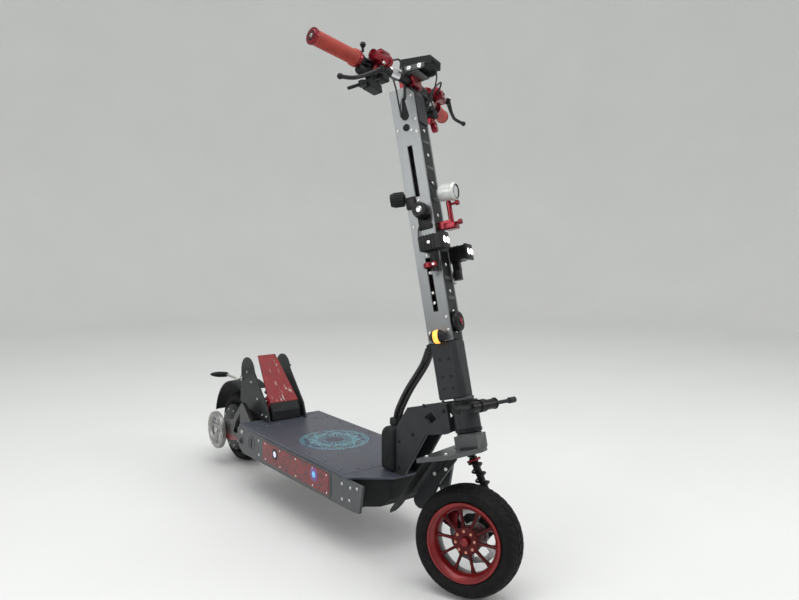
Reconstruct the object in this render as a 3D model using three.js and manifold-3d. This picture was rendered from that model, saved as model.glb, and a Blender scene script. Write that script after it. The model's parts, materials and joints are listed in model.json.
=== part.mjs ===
// Electric kick scooter, in millimetres. Ahead is -Y, the rider's left is +X and up is +Z.
// Points are written [left, ahead, up], with ahead counted from the rear axle.
import * as THREE from 'three';
import { mergeVertices } from 'three/addons/utils/BufferGeometryUtils.js';
import Module from 'manifold-3d';

const wasm = await Module();
wasm.setup();

// ---- main sizes ----
const WHEEL_RADIUS = 127.5;
const WHEELBASE = 1240;
const TYRE_HALF_WIDTH = 39;
const DECK_TOP = 213.7;
const DECK_HALF_WIDTH = 149;
const RAKE = THREE.MathUtils.degToRad(14.7);
const AXIS_AHEAD_OF_FRONT_AXLE = 80;
const STEER_AT_REST = THREE.MathUtils.degToRad(26);
const STEERED_WHEEL_RISE = -1.97;
const CENTRE_SHIFT = [27.56, 600.41];

// ---- colours ----
const CRIMSON = 0x7a1a2a;
const GREY = 0x8d9296;
const DARK_GREY = 0x4a4e50;
const BLACK = 0x18191b;
const RUBBER = 0x1c1c1d;
const SILVER = 0xb9b9b2;
const DECK_BLUE_GREY = 0x474b58;
const AMBER = 0xf0a03c;
const GRIP_RED = 0x8c3026;
const WHITE = 0xd8dad6;

// ---- solid helpers: three.js makes each shape, and booleans join or cut them ----
function solid(geometry) {
  const bare = geometry.clone();
  bare.deleteAttribute('normal');
  bare.deleteAttribute('uv');
  const merged = mergeVertices(bare, 1e-3);
  const numProp = 3;
  const vertProperties = new Float32Array(merged.attributes.position.array);
  const triVerts = new Uint32Array(merged.index.array);
  return new wasm.Manifold(new wasm.Mesh({ numProp, vertProperties, triVerts }));
}

function vector(point) {
  return new THREE.Vector3(point[0], -point[1], point[2]);
}

function join(...shapes) {
  return shapes.reduce((whole, shape) => whole.add(shape));
}

function block(centre, size) {
  const geometry = new THREE.BoxGeometry(size[0], size[1], size[2]);
  const at = vector(centre);
  return solid(geometry.translate(at.x, at.y, at.z));
}

function rod(from, to, radius, sides = 12, endRadius = radius) {
  const a = vector(from);
  const b = vector(to);
  const length = a.distanceTo(b);
  const geometry = new THREE.CylinderGeometry(endRadius, radius, length, sides);
  const up = new THREE.Vector3(0, 1, 0);
  const turn = new THREE.Quaternion().setFromUnitVectors(up, b.clone().sub(a).normalize());
  geometry.applyQuaternion(turn);
  const middle = a.add(b).multiplyScalar(0.5);
  return solid(geometry.translate(middle.x, middle.y, middle.z));
}

function stretched(from, to, extra) {
  const a = new THREE.Vector3(...from);
  const b = new THREE.Vector3(...to);
  const step = b.clone().sub(a).normalize().multiplyScalar(extra);
  return [a.sub(step).toArray(), b.add(step).toArray()];
}

function sleeve(from, to, outer, inner, sides = 12) {
  const [low, high] = stretched(from, to, 1);
  return rod(from, to, outer, sides).subtract(rod(low, high, inner, sides));
}

function ball(centre, radius, sides = 10) {
  const at = vector(centre);
  const geometry = new THREE.SphereGeometry(radius, sides, Math.round(sides / 2));
  return solid(geometry.translate(at.x, at.y, at.z));
}

// Straight lengths that run a little past each bend, so that they meet there.
function chain(points, radius, sides = 10) {
  const lengths = points.slice(1).map((point, i) => {
    const past = stretched(points[i], point, radius * 0.3);
    const from = i === 0 ? points[i] : past[0];
    const to = i === points.length - 2 ? point : past[1];
    return rod(from, to, radius, sides);
  });
  return join(...lengths);
}

// A flat plate standing fore and aft: its outline is [ahead, up] and it spans left from x0 to x1.
function sidePlate(outline, x0, x1, holes = []) {
  const shape = new THREE.Shape(outline.map(([ahead, up]) => new THREE.Vector2(-ahead, up)));
  const geometry = new THREE.ExtrudeGeometry(shape, { depth: x1 - x0, bevelEnabled: false });
  const axes = new THREE.Matrix4().makeBasis(
    new THREE.Vector3(0, 1, 0),
    new THREE.Vector3(0, 0, 1),
    new THREE.Vector3(1, 0, 0),
  );
  const plate = solid(geometry.applyMatrix4(axes).translate(x0, 0, 0));
  const cut = (whole, hole) => whole.subtract(sidePlate(hole, x0 - 1, x1 + 1));
  return holes.reduce(cut, plate);
}

// A flat plate lying level: its outline is [left, ahead] and it spans from z0 to z1.
function levelPlate(outline, z0, z1) {
  const shape = new THREE.Shape(outline.map(([left, ahead]) => new THREE.Vector2(left, -ahead)));
  const geometry = new THREE.ExtrudeGeometry(shape, { depth: z1 - z0, bevelEnabled: false });
  return solid(geometry.translate(0, 0, z0));
}

// A flat plate facing ahead: its outline is [left, up] and it spans between two distances ahead.
function frontPlate(outline, near, far) {
  const shape = new THREE.Shape(outline.map(([left, up]) => new THREE.Vector2(left, up)));
  const geometry = new THREE.ExtrudeGeometry(shape, { depth: far - near, bevelEnabled: false });
  return solid(geometry.rotateX(Math.PI / 2).translate(0, -near, 0));
}

function circle(ahead, up, radius, sides = 16, start = 0, end = 360) {
  const points = [];
  const open = end - start < 360;
  const count = open ? sides + 1 : sides;
  for (let i = 0; i < count; i += 1) {
    const angle = THREE.MathUtils.degToRad(start + ((end - start) * i) / sides);
    points.push([ahead + radius * Math.cos(angle), up + radius * Math.sin(angle)]);
  }
  return points;
}

// A body of revolution about a wheel's axle: its outline is [radius, left].
function turned(outline, ahead, up, sides) {
  const profile = outline.map(([radius, left]) => new THREE.Vector2(radius, left));
  profile.push(profile[0].clone());
  const geometry = new THREE.LatheGeometry(profile, sides);
  const axes = new THREE.Matrix4().makeBasis(
    new THREE.Vector3(0, 0, 1),
    new THREE.Vector3(1, 0, 0),
    new THREE.Vector3(0, 1, 0),
  );
  return solid(geometry.applyMatrix4(axes).translate(0, -ahead, up));
}

// ---- where things stand ----
const axisFoot = new THREE.Vector3(0, -(WHEELBASE + AXIS_AHEAD_OF_FRONT_AXLE), STEERED_WHEEL_RISE);
const toFoot = new THREE.Matrix4().makeTranslation(axisFoot);
const fromFoot = toFoot.clone().invert();
const leanBack = new THREE.Matrix4().makeRotationX(-RAKE);
const turnBar = new THREE.Matrix4().makeRotationZ(STEER_AT_REST);
// Head frame: [left, forward of the steering axis, distance up that axis].
const headFrame = toFoot.clone().multiply(leanBack);
const stemFrame = headFrame.clone().multiply(turnBar);
// Fork frame: ordinary positions of a scooter steering straight, then turned with the bar.
const forkFrame = stemFrame.clone().multiply(leanBack.clone().invert()).multiply(fromFoot);
const deckFrame = new THREE.Matrix4();
const AXLE = [0, WHEELBASE, WHEEL_RADIUS + STEERED_WHEEL_RISE];

const scooter = new THREE.Group();
scooter.name = 'electric_kick_scooter';

function add(name, shape, frame, color, metalness, roughness) {
  const mesh = shape.getMesh();
  const positions = [];
  for (let i = 0; i < mesh.numVert; i += 1) {
    const at = i * mesh.numProp;
    positions.push(...mesh.vertProperties.slice(at, at + 3));
  }
  const geometry = new THREE.BufferGeometry();
  geometry.setAttribute('position', new THREE.Float32BufferAttribute(positions, 3));
  geometry.setIndex(Array.from(mesh.triVerts));
  geometry.applyMatrix4(frame);
  geometry.computeVertexNormals();
  const material = new THREE.MeshStandardMaterial({ color, metalness, roughness });
  const part = new THREE.Mesh(geometry, material);
  part.name = name;
  scooter.add(part);
}

const metal = (name, shape, frame, color = GREY) => add(name, shape, frame, color, 0.9, 0.4);
const matte = (name, shape, frame, color = BLACK) => add(name, shape, frame, color, 0.0, 0.6);

// ---- deck ----
const SIDE_OUTLINE = [
  [258, 176], [262, 198], [276, 207.4], [1000, 207.4], [984, 134], [951, 130],
  [370, 121], [300, 121], [268, 138],
];
metal('deck_side_plate_right', sidePlate(SIDE_OUTLINE, -149, -141), deckFrame, DARK_GREY);
metal('deck_side_plate_left', sidePlate(SIDE_OUTLINE, 141, 149), deckFrame, DARK_GREY);

const NOSE_TIP = 1003;
const TOP_OUTLINE = [
  [-DECK_HALF_WIDTH, 276], [-DECK_HALF_WIDTH, 930], [-52, NOSE_TIP], [52, NOSE_TIP],
  [DECK_HALF_WIDTH, 930], [DECK_HALF_WIDTH, 276],
];
const FOOT_PAD = [[-142, 346], [-142, 908], [142, 908], [142, 346]];
const topPlate = join(
  levelPlate(TOP_OUTLINE, 207.7, DECK_TOP),
  levelPlate(FOOT_PAD, DECK_TOP - 2, DECK_TOP + 1.2),
);
metal('deck_top_plate', topPlate, deckFrame, DECK_BLUE_GREY);

const NOSE_OUTLINE = [
  [-140.6, 872], [-140.6, 924], [-52, 990], [52, 990], [140.6, 924], [140.6, 872],
];
const noseBlock = levelPlate(NOSE_OUTLINE, 132, 207.4).subtract(
  rod([-200, 1012, 118], [200, 1012, 118], 42, 20),
);
matte('deck_nose', noseBlock, deckFrame);
matte('battery_pack', block([0, 640, 163], [250, 420, 66]), deckFrame, 0x2a3a55);
metal('motor_controller', block([0, 376, 160], [180, 98, 52]), deckFrame, SILVER);

// ---- neck ----
const GUSSET_OUTLINE = [
  [976, 214], [976, 334], [1024, 394], [1150, 429], [1174, 430], [1191, 368],
  [1171, 358], [1098, 340], [1066, 293], [1010, 214],
];
const DIAMOND = [[1093, 383], [1116, 401], [1138, 389], [1115, 369]];
metal('neck_gusset_right', sidePlate(GUSSET_OUTLINE, -30, -21, [DIAMOND]), deckFrame, DARK_GREY);
metal('neck_gusset_left', sidePlate(GUSSET_OUTLINE, 21, 30, [DIAMOND]), deckFrame, DARK_GREY);

const HEAD_LOW = 386;
const HEAD_HIGH = 459;
const headTube = sleeve([0, 0, HEAD_LOW], [0, 0, HEAD_HIGH], 30, 16.5, 24);
metal('head_tube', headTube, headFrame, DARK_GREY);

const coverCurve = circle(948, 288, 27, 6, 90, 180).map(([ahead, up]) => [ahead, up + 16]);
const COVER_OUTLINE = [[975.4, 214], [975.4, 331], ...coverCurve, [921, 214]];
matte('neck_cover', sidePlate(COVER_OUTLINE, -42, 42), deckFrame);

const DAMPER_UP = 437;
const DAMPER_AHEAD = 1252;
const damperFrom = [-24, DAMPER_AHEAD, DAMPER_UP];
const damperBody = sleeve(damperFrom, [54, DAMPER_AHEAD, DAMPER_UP], 12, 5.4, 14);
metal('steering_damper_body', damperBody, deckFrame, BLACK);
const damperRod = join(
  rod([-60, DAMPER_AHEAD, DAMPER_UP], [104, DAMPER_AHEAD, DAMPER_UP], 4.8, 10),
  rod([96, DAMPER_AHEAD, DAMPER_UP], [116, DAMPER_AHEAD, DAMPER_UP], 7.5, 10),
);
metal('steering_damper_rod', damperRod, deckFrame, SILVER);

// ---- tail ----
const UPRIGHT_OUTLINE = [
  [268, 214], [334, 214], [316, 262], [222, 366],
  ...circle(172, 360, 50, 10, 12, 186), [110, 250], [150, 236], [240, 226],
];
metal('tail_upright_right', sidePlate(UPRIGHT_OUTLINE, -70, -64), deckFrame, DARK_GREY);
metal('tail_upright_left', sidePlate(UPRIGHT_OUTLINE, 64, 70), deckFrame, DARK_GREY);

// The footrest is a plate leaning back between the uprights, narrower at its top.
const footrest = sidePlate([[300, 268], [305, 272], [180, 414], [175, 410]], -56, 56).intersect(
  frontPlate([[-55, 260], [55, 260], [32, 416], [-32, 416]], 160, 320),
);
metal('footrest_panel', footrest, deckFrame, CRIMSON);

const MUDGUARD_INNER = 165;
const guardOuter = circle(0, WHEEL_RADIUS, MUDGUARD_INNER + 4, 10, 62, 168);
const guardInner = circle(0, WHEEL_RADIUS, MUDGUARD_INNER, 10, 62, 168).reverse();
matte('rear_mudguard', sidePlate([...guardOuter, ...guardInner], -50, 50), deckFrame);

function rearSignal(side) {
  const leaf = rod([side * 92, 60, 336], [side * 158, 60, 344], 9, 10, 4);
  const stalk = join(
    rod([side * 70.3, 128, 331], [side * 90, 128, 331], 5, 8),
    rod([side * 85, 130, 331], [side * 98, 58, 337], 5, 8),
  );
  return join(leaf, stalk);
}
matte('rear_signal_right', rearSignal(-1), deckFrame);
matte('rear_signal_left', rearSignal(1), deckFrame);

// ---- kickstand, let down on the left ----
const KICKSTAND_PIVOT = [124, 420, 108];
const KICKSTAND_FOOT = [196, 392, 6];
const kickstand = join(
  rod([112, 420, 108], [136, 420, 108], 11, 12),
  rod(KICKSTAND_PIVOT, KICKSTAND_FOOT, 8, 10),
  rod([196, 392, 0], [196, 392, 8], 16, 14),
);
metal('kickstand_leg', kickstand, deckFrame, BLACK);

// ---- rear suspension ----
const REAR_PIVOT = [290, 160];
const ARM_OUTLINE = [
  ...circle(REAR_PIVOT[0], REAR_PIVOT[1], 24, 6, -80, 70),
  [214, 256], [200, 262], [186, 254], [120, 190],
  ...circle(0, WHEEL_RADIUS, 32, 8, 80, 260), [100, 112], [200, 130],
];
const ARM_WINDOW = [[124, 146], [146, 186], [180, 222], [184, 148]];
const armRight = sidePlate(ARM_OUTLINE, -104, -92, [ARM_WINDOW]);
const armLeft = sidePlate(ARM_OUTLINE, 92, 104, [ARM_WINDOW]);
const rearArm = join(
  armRight,
  armLeft,
  rod([-93, 290, 160], [93, 290, 160], 18, 16),
  rod([-93, 202, 172], [93, 202, 172], 11, 12),
).subtract(rod([-200, 0, WHEEL_RADIUS], [200, 0, WHEEL_RADIUS], 9.3, 12));
metal('rear_swingarm', rearArm, deckFrame, CRIMSON);

const drum = turned(
  [[9.3, -104.3], [9.3, -112], [43, -112], [46, -121], [65, -121], [66, -118], [66, -104.3]],
  0, WHEEL_RADIUS, 32,
);
metal('rear_hub_cover', drum, deckFrame, SILVER);

const hubMotor = join(
  turned([[0.01, -58], [74, -58], [84, -46], [84, -36], [82, -34], [82, 34], [84, 36],
    [84, 46], [74, 58], [0.01, 58]], 0, WHEEL_RADIUS, 32),
  rod([-91.6, 0, WHEEL_RADIUS], [91.6, 0, WHEEL_RADIUS], 20, 14),
  rod([-112, 0, WHEEL_RADIUS], [110, 0, WHEEL_RADIUS], 9, 12),
);
metal('rear_hub_motor', hubMotor, deckFrame, DARK_GREY);

// ---- tyres ----
function tyre(ahead, up) {
  const half = TYRE_HALF_WIDTH;
  const outline = [
    [84.4, -26], [90.8, -26.4], [91.6, -33], [99, -38], [110, -half], [119, -33],
    [125.5, -18], [WHEEL_RADIUS, 0], [125.5, 18], [119, 33], [110, half], [99, 38],
    [91.6, 33], [90.8, 26.4], [84.4, 26],
  ];
  return turned(outline, ahead, up, 40);
}
matte('rear_tyre', tyre(0, WHEEL_RADIUS), deckFrame, RUBBER);

function shock(name, upper, lower, frame) {
  const along = (t) => upper.map((value, i) => value + (lower[i] - value) * t);
  const side = [upper[0] - 12, upper[1], upper[2]];
  const otherSide = [upper[0] + 12, upper[1], upper[2]];
  metal(`${name}_shock_cylinder`, join(
    rod(side, otherSide, 9, 12),
    rod(along(0), along(0.56), 11.5, 14),
  ).subtract(rod(along(0.11), along(0.7), 5.6, 12)), frame, BLACK);
  metal(`${name}_shock_rod`, join(
    rod(along(0.28), along(0.9), 4.7, 12),
    rod(along(0.84), along(0.87), 17, 14),
    rod(along(0.86), along(0.95), 8, 10),
  ), frame, SILVER);
  metal(`${name}_shock_spring`, sleeve(along(0.1), along(0.835), 17, 12.2, 14), frame, BLACK);
}
shock('rear', [0, 190, 352], [0, 201, 184.5], deckFrame);

// ---- fork ----
const crown = join(
  levelPlate([[-98, -96], [-98, -8], [-62, 8], [-18, 30], [18, 30], [62, 8], [98, -8],
    [98, -96]], 338, 348),
  levelPlate([[-29, -28], [-29, 28], [29, 28], [29, -28]], 347, 380),
  rod([0, 0, 360], [0, 0, 465.7], 16, 24),
);
metal('fork_crown', crown, stemFrame, DARK_GREY);

const LEG_OUTLINE = [
  [-66, 337.6], [-136, 337.6], [-140, 322], [-186, 250], ...circle(-175, 232, 23, 6, 150, 330),
  [-120, 268], [-68, 318],
];
const forkLeg = sidePlate(LEG_OUTLINE, 47, 60);
metal('fork_leg', forkLeg, stemFrame, DARK_GREY);

const flapTop = [0, WHEELBASE - 108, 300];
const flapTip = [0, WHEELBASE - 201, 149];
const flap = join(
  sidePlate([[flapTop[1] - 2, flapTop[2]], [flapTop[1] + 2.5, flapTop[2] - 2],
    [flapTip[1] + 2.5, flapTip[2]], [flapTip[1] - 2, flapTip[2] + 1]], -30, 30),
);
matte('front_mud_flap', flap, forkFrame);

// ---- leading-link arm on the left ----
const LINK_PIVOT = [WHEELBASE - 148, 181];
const LINK_EYE = [WHEELBASE + 37, 152];
const LINK_OUTLINE = [
  ...circle(LINK_PIVOT[0], LINK_PIVOT[1], 22, 6, 80, 240), [WHEELBASE - 40, 108],
  ...circle(WHEELBASE, AXLE[2], 27, 6, 240, 340), ...circle(LINK_EYE[0], LINK_EYE[1], 14, 4, -30, 80),
  [WHEELBASE, 168], [WHEELBASE - 60, 172],
];
const linkArm = join(
  sidePlate(LINK_OUTLINE, 61, 74),
  rod([47.5, WHEELBASE, AXLE[2]], [62, WHEELBASE, AXLE[2]], 18, 14),
  rod([-14, WHEELBASE, AXLE[2]], [62, WHEELBASE, AXLE[2]], 7.5, 14),
  rod([73, LINK_EYE[0], LINK_EYE[1]], [104, LINK_EYE[0], LINK_EYE[1]], 6, 10),
  block([62, WHEELBASE - 66, 150], [10, 30, 24]),
);
metal('front_link_arm', linkArm, forkFrame, DARK_GREY);

const caliper = block([47, WHEELBASE - 62, 154], [19, 34, 38]).subtract(
  block([44.5, WHEELBASE - 56, 150], [5, 34, 60]),
);
metal('front_brake_caliper', caliper, forkFrame, CRIMSON);

const disc = turned([[30, 43.5], [66, 43.5], [66, 45.5], [30, 45.5]], WHEELBASE, AXLE[2], 28);
metal('front_brake_disc', disc, forkFrame, SILVER);

shock('front', [93, WHEELBASE - 46, 303], [93, LINK_EYE[0], LINK_EYE[1]], forkFrame);

// ---- front wheel ----
function frontRim() {
  const [, ahead, up] = AXLE;
  const barrel = turned(
    [[72, -27], [77, -30], [88, -34], [90, -31], [84, -27], [84, 27], [90, 31], [88, 34],
      [77, 30], [72, 27]],
    ahead, up, 32,
  );
  let rim = barrel;
  for (let i = 0; i < 10; i += 1) {
    const angle = (i / 10) * Math.PI * 2;
    const reach = [Math.cos(angle) * 74, Math.sin(angle) * 74];
    const root = [Math.cos(angle) * 14, Math.sin(angle) * 14];
    rim = rim.add(rod(
      [-12, ahead + root[0], up + root[1]], [-16, ahead + reach[0], up + reach[1]], 4.2, 6,
    ));
  }
  rim = rim.add(rod([-24, ahead, up], [43, ahead, up], 24, 18));
  rim = rim.add(rod([-31, ahead, up], [-20, ahead, up], 12, 14));
  return rim.subtract(rod([-16, ahead, up], [60, ahead, up], 8, 14));
}
metal('front_rim', frontRim(), forkFrame, CRIMSON);
matte('front_tyre', tyre(WHEELBASE, AXLE[2]), forkFrame, RUBBER);

// ---- stem ----
const STEM_BACK = -53;
const STEM_FRONT = 10;
const PLATE_LOW = 600;
const PLATE_HIGH = 1222;
const middle = (STEM_BACK + STEM_FRONT) / 2;
const STEM_OUTLINE = [
  [STEM_BACK, PLATE_LOW], [STEM_FRONT, PLATE_LOW], [STEM_FRONT, PLATE_HIGH - 20],
  [STEM_FRONT - 16, PLATE_HIGH], [STEM_BACK, PLATE_HIGH],
];
const slot = (low, high) => [
  [middle - 6, low], [middle + 6, low], [middle + 6, high], [middle - 6, high],
];
const STEM_SLOTS = [slot(672, 800), slot(950, 1076)];
metal('stem_plate_right', sidePlate(STEM_OUTLINE, -30, -24, STEM_SLOTS), stemFrame, GREY);
metal('stem_plate_left', sidePlate(STEM_OUTLINE, 24, 30, STEM_SLOTS), stemFrame, GREY);
matte('stem_front_cover', sidePlate(
  [[1, 601], [9.5, 601], [9.5, 1128], [1, 1128]], -23.7, 23.7,
), stemFrame);
metal('stem_upper_cover', sidePlate(
  [[0, 1129], [13, 1129], [13, 1200], [4, 1221], [-20, 1221], [-20, 1200], [0, 1190]], -23.7, 23.7,
), stemFrame, DARK_GREY);
const LOWER_BLOCK = [
  [-30, 50], [-30, -4], [-20, -16], [20, -16], [30, -4], [30, 50],
].map(([left, back]) => [left, -back]);
metal('stem_lower_block', levelPlate(LOWER_BLOCK, 466, 599.7), stemFrame, DARK_GREY);

// ---- handlebar ----
const BAR_RADIUS = 11;
const BAR_END = [330, -68, 1262];
const BAR_BEND = [196, -36, 1243];
const BAR_MIDDLE = [58, -4, 1236];
const mirrored = ([left, forward, up]) => [-left, forward, up];
const BAR_POINTS = [
  mirrored(BAR_END), mirrored(BAR_BEND), mirrored(BAR_MIDDLE), BAR_MIDDLE, BAR_BEND, BAR_END,
];
metal('handlebar', chain(BAR_POINTS, BAR_RADIUS, 14), stemFrame, BLACK);
const clampBlock = block([0, -6, 1236], [46, 40, 27.4]).subtract(
  rod([-60, -4, 1236], [60, -4, 1236], 11.3, 14),
);
metal('handlebar_clamp', clampBlock, stemFrame, CRIMSON);

const alongGrip = (t, side) => {
  const from = side > 0 ? BAR_BEND : mirrored(BAR_BEND);
  const to = side > 0 ? BAR_END : mirrored(BAR_END);
  return from.map((value, i) => value + (to[i] - value) * t);
};
const offset = (point, step) => point.map((value, i) => value + step[i]);
const grip = (side) => join(
  sleeve(alongGrip(0.09, side), alongGrip(0.97, side), 16.5, 11.4, 14),
  sleeve(alongGrip(0.06, side), alongGrip(0.1, side), 20, 11.4, 14),
);
matte('grip_right', grip(-1), stemFrame, GRIP_RED);
matte('grip_left', grip(1), stemFrame, GRIP_RED);

// Brake perch: a clamp round the bar and a master cylinder lying ahead of it.
const PERCH_AT = 152;
const barAt = (left) => {
  const t = (left - BAR_MIDDLE[0]) / (BAR_BEND[0] - BAR_MIDDLE[0]);
  return BAR_MIDDLE.map((value, i) => value + (BAR_BEND[i] - value) * t);
};
const sided = (point, side) => (side > 0 ? point : mirrored(point));
function brakePerch(side) {
  const near = sided(barAt(PERCH_AT - 9), side);
  const far = sided(barAt(PERCH_AT + 9), side);
  const front = sided(barAt(PERCH_AT), side);
  const cylinderFrom = sided([128, 6, 1244], side);
  const cylinderTo = sided([186, -4, 1248], side);
  return join(
    rod(near, far, 17, 14),
    rod(offset(front, [0, 6, 1]), offset(front, [0, 26, 2]), 9, 8),
    rod(cylinderFrom, cylinderTo, 12.5, 12),
  ).subtract(join(
    rod(...stretched(near, far, 8), 11.4, 14),
    block(sided([176, 12, 1236], side), [30, 12, 5.4]),
  ));
}
const rightHanger = rod([-160, -2, 1238], [-171, 4, 1224], 8, 12);
metal('brake_perch_right', brakePerch(-1).add(rightHanger), stemFrame, CRIMSON);
metal('brake_perch_left', brakePerch(1), stemFrame, CRIMSON);

const LEFT_LEVER = [[176, 16, 1236], [206, 8, 1220], [240, 2, 1210], [285, 8, 1206]];
const RIGHT_LEVER = [[-176, 6, 1212], [-206, -14, 1197], [-240, -30, 1184], [-285, -38, 1175]];
function brakeLever(points, side) {
  const tip = offset(points[3], [side * 2, 0, 0]);
  return chain(points, 4.6, 8).add(ball(tip, 7.5, 8)).intersect(
    block([side * 240, 0, 1200], [140, 110, 90]),
  );
}
metal('brake_lever_right', brakeLever(RIGHT_LEVER, -1), stemFrame, BLACK);
metal('brake_lever_left', brakeLever(LEFT_LEVER, 1), stemFrame, BLACK);

const control = join(
  block([-156, -33, 1190], [54, 24, 20]),
  block([-156, -32, 1206], [30, 16, 14]),
);
matte('control_box', control, stemFrame);
const throttle = join(
  rod([-194, -36, 1181], [-194, -36, 1193], 9, 12),
  rod([-194, -36, 1187], [-220, -60, 1176], 4, 8),
);
matte('throttle_lever', throttle, stemFrame);

const display = join(
  sidePlate([[-16, 1271], [-10, 1292], [70, 1276], [66, 1256]], -30, 30),
  sidePlate([[-14, 1252], [4, 1252], [34, 1262], [34, 1268], [-14, 1274]], -18, 18),
);
matte('display_pod', display, stemFrame);

// ---- lamps and signals on the stem ----
function spotLight(side, forward, up) {
  return join(
    block([side * 50, forward, up], [36, 62, 34]),
    block([side * 46, forward - 6, up - 28], [14, 18, 26]),
    rod([side * 42, forward - 6, up - 64], [side * 42, forward - 6, up - 40], 11.5, 12),
  );
}
matte('spot_light_right', spotLight(-1, 10, 828), stemFrame);
matte('spot_light_left', spotLight(1, 24, 806), stemFrame);
metal('hex_lamp', join(
  rod([0, 20, 951], [0, 66, 945], 21, 6),
), stemFrame, WHITE);
metal('lamp_arm', join(
  rod([0, 42, 862], [0, 42, 926], 6.5, 10),
  block([0, 27, 872], [20, 34, 18]),
), stemFrame, CRIMSON);

function turnSignal(side) {
  return rod([side * 47, -38, 612], [side * 47, -2, 612], 15.5, 14).add(
    rod([side * 30.4, -20, 612], [side * 40, -20, 612], 7, 8),
  );
}
matte('turn_signal_right', turnSignal(-1), stemFrame);
matte('turn_signal_left', turnSignal(1), stemFrame);

// ---- cable loom from the back of the stem to the deck ----
const loomTop = new THREE.Vector3(0, 64, 588).applyMatrix4(stemFrame);
const LOOM_POINTS = [
  [0, 948, 348], [-4, 962, 376], [-4, 1000, 432], [4, 1050, 500],
];
const loomPoints = [...LOOM_POINTS, [loomTop.x, -loomTop.y, loomTop.z]];
matte('cable_loom', chain(loomPoints, 8, 8), deckFrame);

scooter.position.set(CENTRE_SHIFT[0], CENTRE_SHIFT[1], 0);
export default scooter;
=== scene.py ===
"""Electric kick scooter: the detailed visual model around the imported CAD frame.

Local points are written [left, ahead, up] in millimetres, ahead counted from the rear axle.
Points on the stem are [left, forward of the steering axis, distance up that axis].
"""

import json
import math

import bmesh
import bpy
from mathutils import Matrix, Vector


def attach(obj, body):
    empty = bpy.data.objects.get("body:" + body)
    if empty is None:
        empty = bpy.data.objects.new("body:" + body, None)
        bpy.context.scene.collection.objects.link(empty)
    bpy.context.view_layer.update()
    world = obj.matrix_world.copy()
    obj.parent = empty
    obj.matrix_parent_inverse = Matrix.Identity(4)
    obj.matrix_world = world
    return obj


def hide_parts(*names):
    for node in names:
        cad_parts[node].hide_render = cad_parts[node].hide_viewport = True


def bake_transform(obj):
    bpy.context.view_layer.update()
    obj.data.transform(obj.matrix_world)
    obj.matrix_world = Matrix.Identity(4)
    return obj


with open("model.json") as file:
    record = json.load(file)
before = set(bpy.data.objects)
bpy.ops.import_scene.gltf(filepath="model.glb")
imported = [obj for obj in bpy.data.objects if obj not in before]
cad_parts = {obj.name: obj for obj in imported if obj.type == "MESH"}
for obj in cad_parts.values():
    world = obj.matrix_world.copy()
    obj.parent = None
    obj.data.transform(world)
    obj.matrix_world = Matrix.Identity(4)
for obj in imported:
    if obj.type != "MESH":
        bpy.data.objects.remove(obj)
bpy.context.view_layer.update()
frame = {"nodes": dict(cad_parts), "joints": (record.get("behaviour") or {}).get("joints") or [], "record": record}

MM = 0.001
JOINTS = {joint["name"]: joint for joint in frame["joints"]}
BODY_OF = {
    node: body
    for body, nodes in frame["record"]["behaviour"]["bodies"].items()
    for node in nodes
}


# ---------------------------------------------------------------- spaces
def joint_point(name):
    return Vector(JOINTS[name]["pos_m"])


def joint_axis(name):
    return Vector(JOINTS[name]["axis"]).normalized()


def space_from(side, up, origin):
    rotation = Matrix((side, up.cross(side), up)).transposed().to_4x4()
    return Matrix.Translation(origin) @ rotation


HEAD_ALONG = 420 * MM
STEER_AXIS = joint_axis("steering")
WHEEL_SIDE = joint_axis("front_wheel_spin")
HEAD_POINT = joint_point("steering")
AXIS_FOOT = HEAD_POINT - STEER_AXIS * HEAD_ALONG
REAR_AXLE = joint_point("rear_wheel_spin")
FRONT_AXLE = joint_point("front_wheel_spin")
STRAIGHT = Vector((1, 0, 0))
STEER_ANGLE = math.atan2(STRAIGHT.cross(WHEEL_SIDE).dot(STEER_AXIS), STRAIGHT.dot(WHEEL_SIDE))

DECK = Matrix.Translation((REAR_AXLE.x, REAR_AXLE.y, 0))
HEAD = space_from(STRAIGHT, STEER_AXIS, AXIS_FOOT)
STEM = space_from(WHEEL_SIDE, STEER_AXIS, AXIS_FOOT)
TURN = (
    Matrix.Translation(HEAD_POINT)
    @ Matrix.Rotation(STEER_ANGLE, 4, STEER_AXIS)
    @ Matrix.Translation(-HEAD_POINT)
)
FORK = TURN @ DECK
REAR_WHEEL = Matrix.Translation(REAR_AXLE)
FRONT_WHEEL = Matrix.Translation(FRONT_AXLE) @ TURN.to_quaternion().to_matrix().to_4x4()
WHEELBASE = 1240
SIDES = ((-1, "right"), (1, "left"))
SIDEWAYS = (1, 0, 0)
FRONT_AXLE_UP = (FORK.inverted() @ FRONT_AXLE).z / MM


def point(p):
    return Vector((p[0], -p[1], p[2])) * MM


# ---------------------------------------------------------------- materials
M = {}


def shade(colour, factor):
    return [min(1.0, channel * factor) for channel in colour[:3]] + [1.0]


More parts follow.
